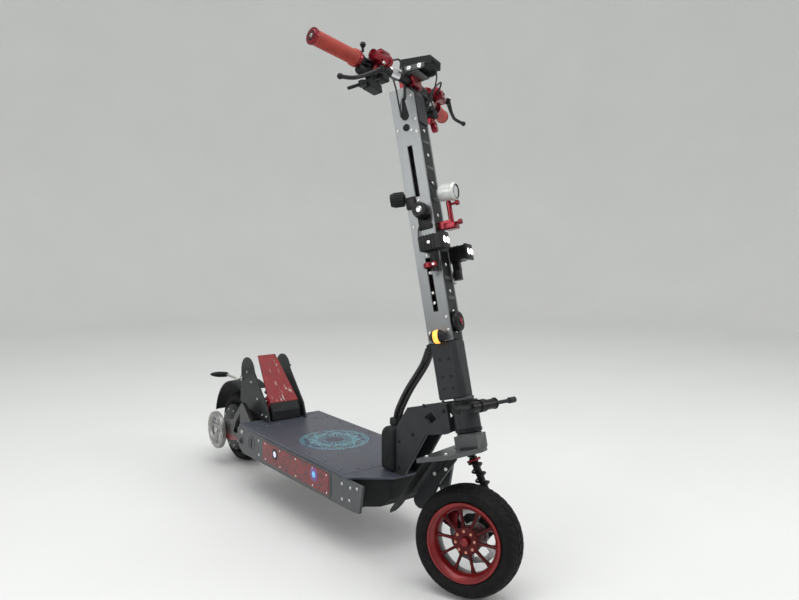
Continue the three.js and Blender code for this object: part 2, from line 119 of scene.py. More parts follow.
class Shader:
    """A material being wired up: a socket given to one of its nodes is linked, a value is set."""

    def __init__(self, name):
        M[name] = material = bpy.data.materials.new(name)
        material.use_nodes = True
        self.tree = material.node_tree
        self.bsdf = self.tree.nodes["Principled BSDF"]
        self.place = self.node("TexCoord").outputs["Object"]

    def feed(self, node, inputs):
        for key, value in inputs:
            if isinstance(value, bpy.types.NodeSocket):
                self.tree.links.new(value, node.inputs[key])
            else:
                node.inputs[key].default_value = value
        return node

    def node(self, kind, **inputs):
        node = self.tree.nodes.new("ShaderNode" + kind)
        return self.feed(node, [(key.replace("_", " "), value) for key, value in inputs.items()])

    def stretched(self, scale):
        return self.node("Mapping", Vector=self.place, Scale=scale).outputs["Vector"]

    def noise(self, place, scale, detail, roughness=0.5):
        node = self.node("TexNoise", Vector=place, Scale=scale, Detail=detail, Roughness=roughness)
        return node.outputs["Fac"]

    def ramp(self, factor, *stops):
        node = self.node("ValToRGB", Fac=factor)
        elements = node.color_ramp.elements
        while len(elements) > 1:
            elements.remove(elements[-1])
        elements[0].position, elements[0].color = stops[0]
        for position, colour in stops[1:]:
            elements.new(position).color = colour
        return node.outputs["Color"]

    def span(self, value, low, high, start=0.0, stop=1.0):
        """The value carried over from the range low to high to the range start to stop."""
        node = self.node("MapRange", Value=value, From_Min=low, From_Max=high, To_Min=start,
                         To_Max=stop)
        return node.outputs["Result"]

    def mix(self, factor, first, second):
        node = self.tree.nodes.new("ShaderNodeMix")
        node.data_type = "RGBA"
        return self.feed(node, ((0, factor), (6, first), (7, second))).outputs[2]

    def maths(self, operation, *values):
        node = self.tree.nodes.new("ShaderNodeMath")
        node.operation = operation
        return self.feed(node, enumerate(values)).outputs[0]

    def finish(self, **inputs):
        self.feed(self.bsdf, [(key.replace("_", " "), value) for key, value in inputs.items()])


def surface(name, colour, rough, metal=0.0, mottle=0.18, mottle_scale=25.0, spread=0.12,
            grain=0.15, grain_scale=900.0, stretch=(1, 1, 1), coat=0.0, dust=0.0, specular=0.5,
            low_tone=None):
    """A surface with uneven tone, uneven gloss and a fine grain that catches the light.

    low_tone is (colour, from height, to height): the piece passes from that colour, low down, to the main colour
    above; on the swingarm the near-black main colour is painted shade.
    Returns the shader and its colour, so that a pattern can be laid over it.
    """
    shader = Shader(name)
    place = shader.stretched(stretch)
    out = shader.ramp(
        shader.noise(place, mottle_scale, 5.0, 0.6), (0.3, shade(colour, 1 - mottle)),
        (0.55, shade(colour, 1.0)), (0.75, shade(colour, 1 + mottle)),
    )
    if low_tone:
        lower, start, stop = low_tone
        height = shader.node("SeparateXYZ", Vector=shader.place).outputs["Z"]
        out = shader.mix(shader.span(height, start, stop), (*lower, 1), out)
    fine = shader.noise(place, grain_scale, 3.0, 0.55)
    if dust:
        speck = shader.noise(shader.place, 90.0, 8.0, 0.75)
        mask = shader.ramp(speck, (0.52, (0, 0, 0, 1)), (0.72, (dust, dust, dust, 1)))
        out = shader.mix(mask, out, (0.42, 0.41, 0.38, 1))
    gloss = shader.span(fine, 0.3, 0.7, max(0.03, rough - spread), min(1.0, rough + spread))
    bump = shader.node("Bump", Strength=grain, Distance=0.0004, Height=fine)
    shader.finish(Base_Color=out, Roughness=gloss, Normal=bump.outputs["Normal"],
                  Metallic=metal, Coat_Weight=coat, Coat_Roughness=0.12,
                  Specular_IOR_Level=specular)
    return shader, out


def glow_surface(name, colour, strength):
    """A glowing surface, brightest in its middle cells, with a faint lens pattern: a lit lamp, or on the deck
    inserts a painted glint.
    """
    shader = Shader(name)
    cells = shader.node("TexVoronoi", Vector=shader.place, Scale=260.0).outputs["Distance"]
    tones = shader.ramp(cells, (0.0, shade(colour, 1.0)), (0.9, shade(colour, 0.7)))
    shader.finish(Base_Color=tones, Emission_Color=tones, Emission_Strength=strength,
                  Roughness=0.15)


def broken_pattern(name, ground, marks, rough, scale, low, high, stretch=(1, 1, 1), metal=0.2):
    """Paint with irregular marks of another colour, such as splashes, chips or streaks, and on the rear hub a
    painted reflection.
    """
    shader, base = surface(name, ground, rough, metal, 0.25, 30.0, coat=0.25)
    amount = shader.noise(shader.stretched(stretch), scale, 5.0, 0.7)
    mask = shader.ramp(amount, (low, (0, 0, 0, 1)), (high, (1, 1, 1, 1)))
    shader.finish(Base_Color=shader.mix(mask, base, (*marks, 1)))


def ring_ornament():
    """The deck's coat: a fine textured blue-grey with a generic teal and violet ring pattern."""
    shader, base = surface("deck_coat", (0.075, 0.08, 0.105), 0.42, 0.35, 0.1, grain=0.5,
                           grain_scale=1400.0, dust=0.05)
    maths = shader.maths
    centre = DECK @ point((2, 622, 0))
    shift = shader.node("Mapping", Vector=shader.place, Location=(-centre.x, -centre.y, 0))
    split = shader.node("SeparateXYZ", Vector=shift.outputs["Vector"])

    def between(value, low, high):
        return maths("MULTIPLY", maths("GREATER_THAN", value, low), maths("LESS_THAN", value, high))

    def waves(count, above):
        return maths("GREATER_THAN", maths("SINE", maths("MULTIPLY", angle, count)), above)

    x, y = split.outputs["X"], split.outputs["Y"]
    reach = maths("SQRT", maths("ADD", maths("MULTIPLY", x, x), maths("MULTIPLY", y, y)))
    radius = maths("DIVIDE", reach, 0.87)
    angle = maths("ARCTAN2", y, x)
    wave = maths("MULTIPLY", maths("SINE", maths("MULTIPLY", angle, 12.0)), 0.009)
    shapes = [between(radius, low, high) for low, high in (
        (0.106, 0.108), (0.083, 0.0855), (0.060, 0.0625), (0.034, 0.0365))]
    shapes += [
        maths("MULTIPLY", between(radius, 0.109, 0.115), waves(60.0, 0.2)),
        between(maths("SUBTRACT", radius, wave), 0.092, 0.0965),
        between(maths("ADD", radius, wave), 0.070, 0.075),
        maths("MULTIPLY", between(radius, 0.038, 0.059), waves(24.0, 0.55)),
        maths("MULTIPLY", between(radius, 0.064, 0.079), 0.55),
    ]
    specks = shader.node("TexVoronoi", Vector=shader.place, Scale=34.0).outputs["Distance"]
    shapes.append(maths("MULTIPLY", maths("LESS_THAN", specks, 0.075), 0.6))
    figure = between(radius, 0.116, 0.119)
    for shape in shapes:
        figure = maths("MAXIMUM", figure, shape)
    mask = maths("MULTIPLY", figure,
                 maths("GREATER_THAN", shader.noise(shader.place, 60.0, 4.0), 0.4))
    hue = shader.ramp(shader.noise(shader.place, 9.0, 2.0), (0.0, (0.04, 0.26, 0.34, 1)),
                      (0.5, (0.16, 0.44, 0.5, 1)), (1.0, (0.22, 0.12, 0.36, 1)))
    clouds = shader.noise(shader.place, 16.0, 3.0)
    beside = maths("MULTIPLY", between(radius, 0.088, 0.122),
                   maths("GREATER_THAN", maths("ABSOLUTE", x), 0.066))
    deep = maths("MULTIPLY", maths("GREATER_THAN", clouds, 0.44), beside)
    deep = maths("MAXIMUM", deep, maths("MULTIPLY", maths("LESS_THAN", radius, 0.06), 0.5))
    ground = shader.mix(maths("MULTIPLY", deep, 0.75), base, (0.022, 0.022, 0.07, 1))
    shader.finish(Base_Color=shader.mix(maths("MULTIPLY", mask, 0.8), ground, hue))


FRAME_GREY = (0.088, 0.094, 0.098)
surface("frame_grey", FRAME_GREY, 0.42, 0.55, 0.12, grain=0.2)
surface("stem_silver", (0.27, 0.28, 0.285), 0.38, 0.7, 0.08, 18.0, 0.1, 0.25, 500.0,
        stretch=(30, 30, 1), low_tone=((0.11, 0.115, 0.12), 0.42, 0.86))
surface("gusset_grey", (0.03, 0.032, 0.035), 0.45, 0.3, 0.14, grain=0.2, specular=0.25)
surface("fork_grey", (0.022, 0.024, 0.026), 0.4, 0.3, 0.15, specular=0.25)
surface("crown_silver", (0.085, 0.09, 0.092), 0.38, 0.5, 0.1, 20.0, 0.1, 0.2, 500.0,
        stretch=(1, 30, 30))
surface("black_plastic", (0.011, 0.012, 0.013), 0.5, 0.0, 0.25, grain=0.35, grain_scale=1500.0,
        specular=0.22)
surface("soft_black", (0.014, 0.015, 0.016), 0.62, 0.0, 0.3, grain=0.3, dust=0.04, specular=0.2)
surface("battery_wrap", (0.02, 0.045, 0.13), 0.35, 0.0, 0.2)
surface("bare_aluminium", (0.52, 0.52, 0.5), 0.32, 0.85, 0.1, 20.0, 0.1, 0.2, 420.0,
        stretch=(1, 14, 1))
surface("crimson_anodised", (0.23, 0.008, 0.018), 0.27, 0.75, 0.2, 30.0, 0.08, 0.12, 700.0,
        coat=0.3)
# Painted shade: the crimson swingarm is coloured near black, as it looks in shade, with its own red kept only
# along its lowest part.
surface("swingarm_painted_shade", (0.012, 0.012, 0.013), 0.3, 0.5, 0.2, 30.0, 0.08, 0.12, 700.0, coat=0.3,
        low_tone=((0.18, 0.006, 0.01), 0.122, 0.138))
surface("rim_red", (0.2, 0.006, 0.008), 0.34, 0.4, 0.25, 22.0, 0.1, 0.12, 700.0, coat=0.3)
surface("spoke_red", (0.085, 0.004, 0.006), 0.4, 0.3, 0.25, 22.0, 0.1, 0.12, 700.0, specular=0.3)
surface("black_anodised", (0.008, 0.008, 0.009), 0.36, 0.2, 0.2, grain=0.15, specular=0.28)
surface("black_steel", (0.007, 0.007, 0.008), 0.3, 0.2, 0.2, coat=0.05, specular=0.25)
surface("polished_rod", (0.66, 0.66, 0.68), 0.12, 1.0, 0.05, 30.0, 0.05, 0.05, 900.0,
        stretch=(1, 1, 12))
surface("disc_steel", (0.5, 0.5, 0.5), 0.3, 1.0, 0.12, 30.0, 0.1, 0.25, 300.0, stretch=(12, 1, 1))
surface("tyre_rubber", (0.0075, 0.0075, 0.008), 0.68, 0.0, 0.3, 30.0, 0.12, 0.3, 1400.0, dust=0.03,
        specular=0.12)
surface("grip_rubber", (0.36, 0.035, 0.02), 0.55, 0.0, 0.18, 60.0, 0.1, 0.4, 1600.0)
surface("cable_rubber", (0.012, 0.012, 0.013), 0.5, 0.0, 0.25, 60.0, 0.1, 0.35, 1800.0)
surface("screw_steel", (0.62, 0.62, 0.61), 0.24, 1.0, 0.12, 300.0)
surface("rose_bolt", (0.72, 0.36, 0.27), 0.25, 0.9, 0.12, 300.0)
surface("dark_glass", (0.01, 0.012, 0.016), 0.08, 0.0, 0.3, 12.0, 0.04, 0.02, coat=0.6)
surface("clear_lens", (0.5, 0.52, 0.52), 0.1, 0.1, 0.2, 200.0, 0.05, 0.1, coat=0.8)
surface("white_shell", (0.62, 0.63, 0.61), 0.35, 0.25, 0.08, 40.0)
glow_surface("amber_glow", (1.0, 0.42, 0.07, 1), 1.6)
surface("amber_lens", (0.65, 0.18, 0.02), 0.2, 0.0, 0.3, 200.0, coat=0.6)
glow_surface("led_glow", (1.0, 0.95, 0.82, 1), 9.0)
ring_ornament()
broken_pattern("insert_red", (0.2, 0.008, 0.012), (0.05, 0.008, 0.014), 0.33, 70.0, 0.5, 0.58,
               (1, 1, 1.6), 0.3)
broken_pattern("footrest_red", (0.2, 0.008, 0.01), (0.42, 0.36, 0.35), 0.4, 30.0, 0.6, 0.64,
               (3, 1, 0.3))
# Painted glints: the deck insert lenses are given a faint glow that stands in for the highlights on them.
glow_surface("white_lens", (0.78, 0.72, 0.95, 1), 0.35)
glow_surface("blue_lens", (0.16, 0.5, 0.85, 1), 0.4)
surface("violet_ring", (0.14, 0.04, 0.24), 0.3, 0.2, 0.3, 60.0, coat=0.4)
surface("drum_bare", (0.3, 0.3, 0.285), 0.34, 0.7, 0.12, 24.0, 0.1, 0.2)
# Painted reflection: the pale ground and dark-blue marks stand in for highlights and reflections in the chrome hub
# cover.
broken_pattern("drum_silver", (0.4, 0.4, 0.38), (0.02, 0.03, 0.07), 0.3, 34.0, 0.5, 0.54, (1, 1, 1),
               0.6)
surface("pale_floor", (0.74, 0.745, 0.735), 0.8, 0.0, 0.02, 1.5, grain=0.02)


# ---------------------------------------------------------------- mesh tools
def turns(count, ahead=0.0):
    """Equal steps of one full turn in radians, begun a part of a step ahead."""
    return [2 * math.pi * (i + ahead) / count for i in range(count)]


def skin(bm, rings, around=False, capped=True):
    """Faces between neighbouring rings of vertices, where a ring of one vertex is a tip."""
    for low, high in zip(rings, rings[1:] + (rings[:1] if around else [])):
        sides = max(len(low), len(high))
        for i in range(sides):
            j = (i + 1) % sides
            quad = (low[i % len(low)], low[j % len(low)], high[j % len(high)], high[i % len(high)])
            corners = list(dict.fromkeys(quad))
            if len(corners) > 2:
                bm.faces.new(corners)
    if capped and not around:
        for ring in (rings[0], rings[-1]):
            if len(ring) > 2:
                bm.faces.new(ring)


class Maker:
    """Collects shapes into one mesh, in one local space."""

    def __init__(self):
        self.bm = bmesh.new()

    def ring(self, places):
        return [self.bm.verts.new(place) for place in places]

    def box(self, centre, size, bevel=0.0, turn=Matrix.Identity(4)):
        before = set(self.bm.verts)
        verts = bmesh.ops.create_cube(self.bm, size=1.0)["verts"]
        scale = Matrix.Diagonal((size[0] * MM, size[1] * MM, size[2] * MM, 1))
        bmesh.ops.transform(self.bm, matrix=scale, verts=verts)
        if bevel:
            edges = list({e for v in verts for e in v.link_edges})
            bmesh.ops.bevel(self.bm, geom=edges + verts, offset=bevel * MM, segments=2,
                            profile=0.6, affect="EDGES")
            verts = [v for v in self.bm.verts if v not in before]
        bmesh.ops.transform(self.bm, matrix=Matrix.Translation(point(centre)) @ turn, verts=verts)
        return self

    def lathe(self, profile, start, along, sides=32, closed=False):
        """Turns [(radius, distance)] about the line from start in direction along."""
        axis = Vector((along[0], -along[1], along[2])).normalized()
        frame_turn = axis.to_track_quat("Z", "Y").to_matrix().to_4x4()
        matrix = Matrix.Translation(point(start)) @ frame_turn
        rings = []
        for radius, distance in profile:
            if radius <= 1e-6:
                rings.append(self.ring([matrix @ Vector((0, 0, distance * MM))]))
            else:
                rings.append(self.ring(
                    matrix @ (Vector((radius * math.cos(t), radius * math.sin(t), distance)) * MM)
                    for t in turns(sides)))
        skin(self.bm, rings, around=closed)
        return self

    def rod(self, a, b, radius, end_radius=None, sides=20, edge=0.8):
        """A round bar with softened ends."""
        end_radius = radius if end_radius is None else end_radius
        start, stop = Vector(a), Vector(b)
        length = (stop - start).length
        edge = min(edge, length * 0.3, radius * 0.5, end_radius * 0.5)
        profile = [
            (0, 0), (radius - edge, 0), (radius - edge * 0.3, edge * 0.3), (radius, edge),
            (end_radius, length - edge), (end_radius - edge * 0.3, length - edge * 0.3),
            (end_radius - edge, length), (0, length),
        ]
        return self.lathe(profile, a, stop - start, sides)

    def tube(self, path, radius, sides=12, radii=None):
        """A round tube along points that are already close together."""
        points = [point(p) for p in path]
        up = Vector((0.13, 0.31, 0.94))
        rings = []
        for i, here in enumerate(points):
            ahead = points[min(i + 1, len(points) - 1)] - points[max(i - 1, 0)]
            ahead.normalize()
            side = ahead.cross(up)
            if side.length < 0.1:
                side = ahead.cross(Vector((1, 0, 0)))
            side.normalize()
            up = side.cross(ahead).normalized()
            r = (radii[i] if radii else radius) * MM
            rings.append(self.ring(
                here + side * math.cos(t) * r + up * math.sin(t) * r
                for t in turns(sides)))
        skin(self.bm, rings)
        return self

    def slab(self, outline, plane, low, high):
        """An outline pushed out along one axis: plane names the axis, x, y (ahead) or z."""
        order = {"x": (2, 0, 1), "y": (0, 2, 1), "z": (0, 1, 2)}[plane]
        skin(self.bm, [
            self.ring(point([(a, b, depth)[k] for k in order]) for a, b in outline)
            for depth in (low, high)
        ])
        return self

    def bolt(self, at, along, radius=4.0, height=3.2):
        """A socket-head screw that stands on a surface: along points out of it."""
        r, h = radius, height
        profile = [
            (r, -0.6), (r, h * 0.7), (r * 0.86, h), (r * 0.52, h), (r * 0.48, h * 0.9),
            (r * 0.46, h * 0.35), (0, h * 0.3),
        ]
        return self.lathe(profile, at, along, 18)

    def button(self, at, along, radius=4.0, height=2.0):
        """A domed button-head screw with a socket."""
        r, h = radius, height
        profile = [
            (r, -0.5), (r, h * 0.2), (r * 0.9, h * 0.62), (r * 0.7, h * 0.9), (r * 0.42, h),
            (r * 0.38, h * 0.5), (0, h * 0.45),
        ]
        return self.lathe(profile, at, along, 16)

    def done(self, name, space, body, material, replaced=(), bevel=0.0, smooth=32, slot=None):
        bmesh.ops.recalc_face_normals(self.bm, faces=self.bm.faces)
        mesh = bpy.data.meshes.new(name)
        self.bm.to_mesh(mesh)
        self.bm.free()
        return put(name, mesh, space, body, material, replaced, bevel, smooth, slot)


ON_DECK = (DECK, "frame_body")
ON_STEM = (STEM, "steer_body")
ON_FRONT_WHEEL = (FRONT_WHEEL, "front_wheel_body")
ON_REAR_WHEEL = (REAR_WHEEL, "rear_wheel_body")
ON_REAR_ARM = (REAR_WHEEL, "rear_arm_body")
# Finishes whose grain runs along the stem keep the piece's own space.
LENGTHWISE = ("stem_silver", "crown_silver")


def put(name, mesh, space, body, material, replaced=(), bevel=0.0, smooth=32, slot=None):
    for polygon in mesh.polygons:
        polygon.use_smooth = True
    mesh.set_sharp_from_angle(angle=math.radians(smooth))
    if material not in LENGTHWISE:
        mesh.transform(space)
        space = Matrix.Identity(4)
    obj = bpy.data.objects.new(name, mesh)
    bpy.context.scene.collection.objects.link(obj)
    obj.matrix_world = space
    mesh.materials.clear()
    mesh.materials.append(M[material])
    if bevel:
        edge = obj.modifiers.new("edge", "BEVEL")
        edge.width = bevel * MM
        edge.segments = 7 if bevel > 8 else 3 if bevel > 2.4 else 2
        edge.limit_method = "ANGLE"
        edge.angle_limit = math.radians(35)
        edge.harden_normals = False
    if body:
        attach(obj, body)
    if replaced:
        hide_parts(*replaced)
    return obj


def refine(node, material, space=DECK, bevel=1.0):
    """A copy of a CAD node with its facets joined and its edges softened."""
    source = frame["nodes"][node]
    bm = bmesh.new()
    bm.from_mesh(source.data)
    bmesh.ops.remove_doubles(bm, verts=bm.verts, dist=1e-6)
    bmesh.ops.dissolve_limit(bm, angle_limit=math.radians(1.5), verts=bm.verts, edges=bm.edges)
    bmesh.ops.transform(bm, matrix=space.inverted(), verts=bm.verts)
    mesh = bpy.data.meshes.new(node + "_detailed")
    bm.to_mesh(mesh)
    bm.free()
    put(node + "_detailed", mesh, space, BODY_OF[node], material, (node,), bevel, 40)


def curve_points(knots, steps=10):
    """Points on a smooth curve through the knots."""
    knots = [Vector(k) for k in knots]
    padded = [2 * knots[0] - knots[1]] + knots + [2 * knots[-1] - knots[-2]]
    out = []
    for i in range(1, len(padded) - 2):
        a, b, c, d = padded[i - 1:i + 3]
        for s in range(steps):
            t = s / steps
            out.append(0.5 * (
                2 * b + (c - a) * t + (2 * a - 5 * b + 4 * c - d) * t * t
                + (3 * b - a - 3 * c + d) * t ** 3
            ))
    out.append(knots[-1])
    return out


def circle(centre, radius, sides, start=0.0, end=360.0):
    count = sides + 1 if end - start < 360 else sides
    return [
        (centre[0] + radius * math.cos(math.radians(start + (end - start) * i / sides)),
         centre[1] + radius * math.sin(math.radians(start + (end - start) * i / sides)))
        for i in range(count)
    ]


# ---------------------------------------------------------------- camera and light
def look(location, direction):
    return Matrix.Translation(location) @ direction.to_track_quat("-Z", "Y").to_matrix().to_4x4()


CAMERA_AHEAD, CAMERA_RIGHT, CAMERA_UP = 2429.2, 1097.1, 818.8
CAMERA_AZIMUTH, CAMERA_PITCH = math.radians(36.6), math.radians(5.0)
CAMERA_LENS = 32.31


def build_camera():
    data = bpy.data.cameras.new("camera")
    data.lens = CAMERA_LENS
    data.sensor_width = 36.0
    data.clip_end = 100.0
    camera = bpy.data.objects.new("camera", data)
    bpy.context.scene.collection.objects.link(camera)
    direction = Vector((
        math.sin(CAMERA_AZIMUTH) * math.cos(CAMERA_PITCH),
        math.cos(CAMERA_AZIMUTH) * math.cos(CAMERA_PITCH),
        -math.sin(CAMERA_PITCH),
    ))
    place = DECK @ point((-CAMERA_RIGHT, CAMERA_AHEAD, CAMERA_UP))
    camera.matrix_world = look(place, direction)
    bpy.context.scene.camera = camera


def area_light(name, place, target, size, power):
    data = bpy.data.lights.new(name, "AREA")
    data.shape = "RECTANGLE"
    data.size, data.size_y = size
    data.energy = power
    light = bpy.data.objects.new(name, data)
    bpy.context.scene.collection.objects.link(light)
    light.matrix_world = look(Vector(place), Vector(target) - Vector(place))


FLOOR_REACH, WALL_BEND, WALL_TOP = 5.0, 2.0, 4.6


def build_studio():
    """A round pale floor that curves up into a wall, open to the sky above."""
    profile = [(0.02, 0.0), (2.0, 0.0), (FLOOR_REACH, 0.0)]
    for i in range(1, 13):
        angle = math.radians(90 * i / 12)
        profile.append((FLOOR_REACH + WALL_BEND * math.sin(angle),
                        WALL_BEND * (1 - math.cos(angle))))
    profile.append((FLOOR_REACH + WALL_BEND, WALL_TOP))
    sheet = Maker()
    rings = [
        sheet.ring((radius * math.cos(t), radius * math.sin(t), height) for t in turns(96))
        for radius, height in profile
    ]
    skin(sheet.bm, rings, capped=False)
    sheet.bm.faces.new(rings[0])
    floor = sheet.done("floor", Matrix.Identity(4), None, "pale_floor")
    world = bpy.data.worlds.new("studio")
    world.use_nodes = True
    background = world.node_tree.nodes["Background"]
    background.inputs["Color"].default_value = (0.86, 0.87, 0.87, 1)
    background.inputs["Strength"].default_value = 0.8
    bpy.context.scene.world = world
    area_light("overhead", (-0.3, -0.6, 3.4), (0, 0, 0.3), (3.0, 3.0), 70)
    area_light("front_left", (2.4, -3.0, 2.2), (0, -0.2, 0.5), (1.6, 1.6), 34)
    area_light("right_side", (-3.4, -0.8, 1.9), (0, 0, 0.4), (1.8, 1.8), 30)
    bpy.context.scene.view_settings.view_transform = "Standard"


build_camera()
build_studio()


# ---------------------------------------------------------------- carried-over shapes, softened
def soften(names, material, space=DECK, bevel=1.0):
    for name in names:
        refine(name, material, space, bevel)


soften(("deck_side_plate_right", "deck_side_plate_left"), "frame_grey", bevel=1.4)
soften(("deck_top_plate",), "deck_coat", bevel=0.9)
soften(("deck_nose",), "black_plastic", bevel=4.0)
soften(("battery_pack",), "battery_wrap", bevel=5.0)
soften(("motor_controller",), "bare_aluminium", bevel=2.0)
soften(("neck_gusset_right", "neck_gusset_left"), "gusset_grey", bevel=1.3)
soften(("tail_upright_right", "tail_upright_left"), "fork_grey", bevel=1.2)
soften(("neck_cover",), "soft_black", bevel=13.0)
soften(("footrest_panel",), "footrest_red", bevel=1.2)
# The swingarm's near-black colour is painted shade over its crimson.
soften(("rear_swingarm",), "swingarm_painted_shade", bevel=1.8)
soften(("kickstand_leg",), "black_steel", bevel=0.8)
soften(("head_tube",), "gusset_grey", HEAD, 1.0)
soften(("stem_plate_right", "stem_plate_left"), "stem_silver", STEM, 1.0)
soften(("stem_upper_cover",), "gusset_grey", STEM, 2.0)
soften(("stem_lower_block",), "gusset_grey", STEM, 5.0)
soften(("stem_front_cover",), "black_anodised", STEM, 1.5)
soften(("handlebar_clamp", "lamp_arm", "brake_perch_right", "brake_perch_left"),
       "crimson_anodised", STEM, 1.6)
soften(("control_box",), "black_plastic", STEM, 5.0)
soften(("throttle_lever",), "black_plastic", STEM, 0.6)
soften(("display_pod",), "black_plastic", STEM, 3.0)
soften(("spot_light_right", "spot_light_left"), "black_anodised", STEM, 2.0)
soften(("fork_crown",), "crown_silver", STEM, 1.2)
soften(("fork_leg",), "fork_grey", STEM, 2.0)
soften(("front_link_arm",), "fork_grey", FORK, 1.8)
soften(("front_brake_caliper",), "crimson_anodised", FORK, 2.5)
soften(("steering_damper_body",), "black_anodised", DECK, 0.6)
soften(("steering_damper_rod",), "fork_grey", DECK, 0.6)


# ---------------------------------------------------------------- deck furniture
PLATE_EDGE = 149.0
DECK_TOP = 214.9


def deck_details():
    inner = [(456, 138), (451, 146), (451, 193), (458, 200), (838, 200), (844, 193), (844, 150),
             (836, 139)]
    outer = [(451, 131), (443, 141), (443, 197), (453, 206), (843, 206), (851, 198), (851, 145),
             (841, 132)]
    for side, label in SIDES:
        out, face = (side, 0, 0), side * (PLATE_EDGE + 1.6)
        Maker().slab(outer, "x", side * PLATE_EDGE, face).done(
            f"insert_border_{label}", *ON_DECK, "frame_grey", bevel=0.4)
        # The faint glow of the white and blue lenses is a painted glint.
        for name, material, ahead, up, sides, profile in (
            ("lens_white", "white_lens", 534, 175, 36,
             [(0, 0), (8, 0), (9.4, 0.8), (9.8, 1.8), (7, 2.6), (0, 2.9)]),
            ("ring_dark", "black_plastic", 534, 175, 40,
             [(9, 0), (16.4, 0), (17, 0.8), (16, 1.6), (9.4, 1.9)]),
            ("ring_violet", "violet_ring", 766, 177, 40,
             [(9, 0), (19, 0), (20, 0.8), (19, 1.8), (9, 2.2)]),
            ("lens_blue", "blue_lens", 766, 177, 36,
             [(0, 0), (9, 0), (9.8, 1.4), (7, 2.6), (0, 3)]),
        ):
            Maker().lathe(profile, (face, ahead, up), out, sides, closed="ring" in name).done(
                f"insert_{name}_{label}", *ON_DECK, material)
        Maker().slab(inner, "x", side * (PLATE_EDGE + 1), side * (PLATE_EDGE + 2.6)).done(
            f"insert_panel_{label}", *ON_DECK, "insert_red", bevel=0.5)
        screws = Maker()
        for ahead in (470, 566, 662, 758, 832):
            for up in (145, 193):
                screws.button((side * (PLATE_EDGE + 2.4), ahead, up), out, 3.2, 1.6)
        for ahead, up in ((905, 190), (945, 190), (905, 150), (940, 156), (975, 196), (420, 190),
                          (420, 145)):
            screws.button((side * PLATE_EDGE, ahead, up), out, 4.4, 2.2)
        screws.bolt((side * PLATE_EDGE, 300, 192), out, 6.4, 3.4)
        screws.done(f"side_screws_{label}", *ON_DECK, "screw_steel")
        Maker().lathe([(18.5, 0), (22, 0), (22.6, 0.8), (21.6, 1.6), (18.8, 1.4)],
                      (side * (PLATE_EDGE - 0.2), 366, 170), out, 44, closed=True).done(
            f"side_recess_rim_{label}", *ON_DECK, "frame_grey")
        Maker().box((side * (PLATE_EDGE + 0.2), 366, 170), (1.2, 9, 27), 0.5).done(
            f"side_recess_slot_{label}", *ON_DECK, "soft_black")
        Maker().lathe([(0, 0), (12, 0), (13, 0.8), (12.4, 1.6), (10, 1.9), (9, 1.2), (0, 1.0)],
                      (side * (PLATE_EDGE - 0.2), 290, 160), out, 40).done(
            f"pivot_cap_{label}", *ON_DECK, "frame_grey")
        Maker().lathe([(0, 0), (9, 0), (9.6, 1.6), (8, 3.2), (4.6, 3.4), (4.2, 1), (0, 1)],
                      (side * (PLATE_EDGE + 0.8), 290, 160), out, 6).done(
            f"pivot_nut_{label}", *ON_DECK, "gusset_grey")
    Maker().slab([(302, 122.4), (302, 126.4), (946, 135.4), (946, 131.4)], "x", -140.4, 140.4).done(
        "belly_plate", *ON_DECK, "black_anodised", bevel=0.8)
    screws = Maker()
    for ahead in (366, 450, 534, 618, 702, 786, 870):
        for left in (-129, 129):
            screws.button((left, ahead, DECK_TOP), (0, 0, 1), 3.6, 1.6)
    for left in (-90, -48, 48, 90):
        screws.button((left, 893, DECK_TOP), (0, 0, 1), 3.6, 1.6)
        screws.button((left, 360, DECK_TOP), (0, 0, 1), 3.6, 1.6)
    for left, ahead in ((-118, 928), (118, 928), (-74, 970), (74, 970)):
        screws.button((left, ahead, 213.7), (0, 0, 1), 4.4, 2.0)
    screws.done("deck_screws", *ON_DECK, "stem_silver")
    bracket = Maker().box((-56, 290, 280), (10, 30, 16), 2.5)
    bracket.box((-56, 296, 262), (8, 16, 30), 2)
    bracket.done("footrest_bracket", *ON_DECK, "crimson_anodised")
    bolts = Maker()
    bolts.bolt((-61, 284, 280), (-1, 0, 0), 3.0, 2.2)
    bolts.bolt((-61, 298, 280), (-1, 0, 0), 3.0, 2.2)
    bolts.done("footrest_bracket_bolts", *ON_DECK, "screw_steel")
    Maker().slab([(322, 214.6), (322, 246), (307, 268), (300, 274), (280, 274), (280, 214.6)],
                 "x", -52, 52).done(
        "footrest_block", *ON_DECK, "soft_black", bevel=4.0)


DAMPER_LINE = (1252, 437)


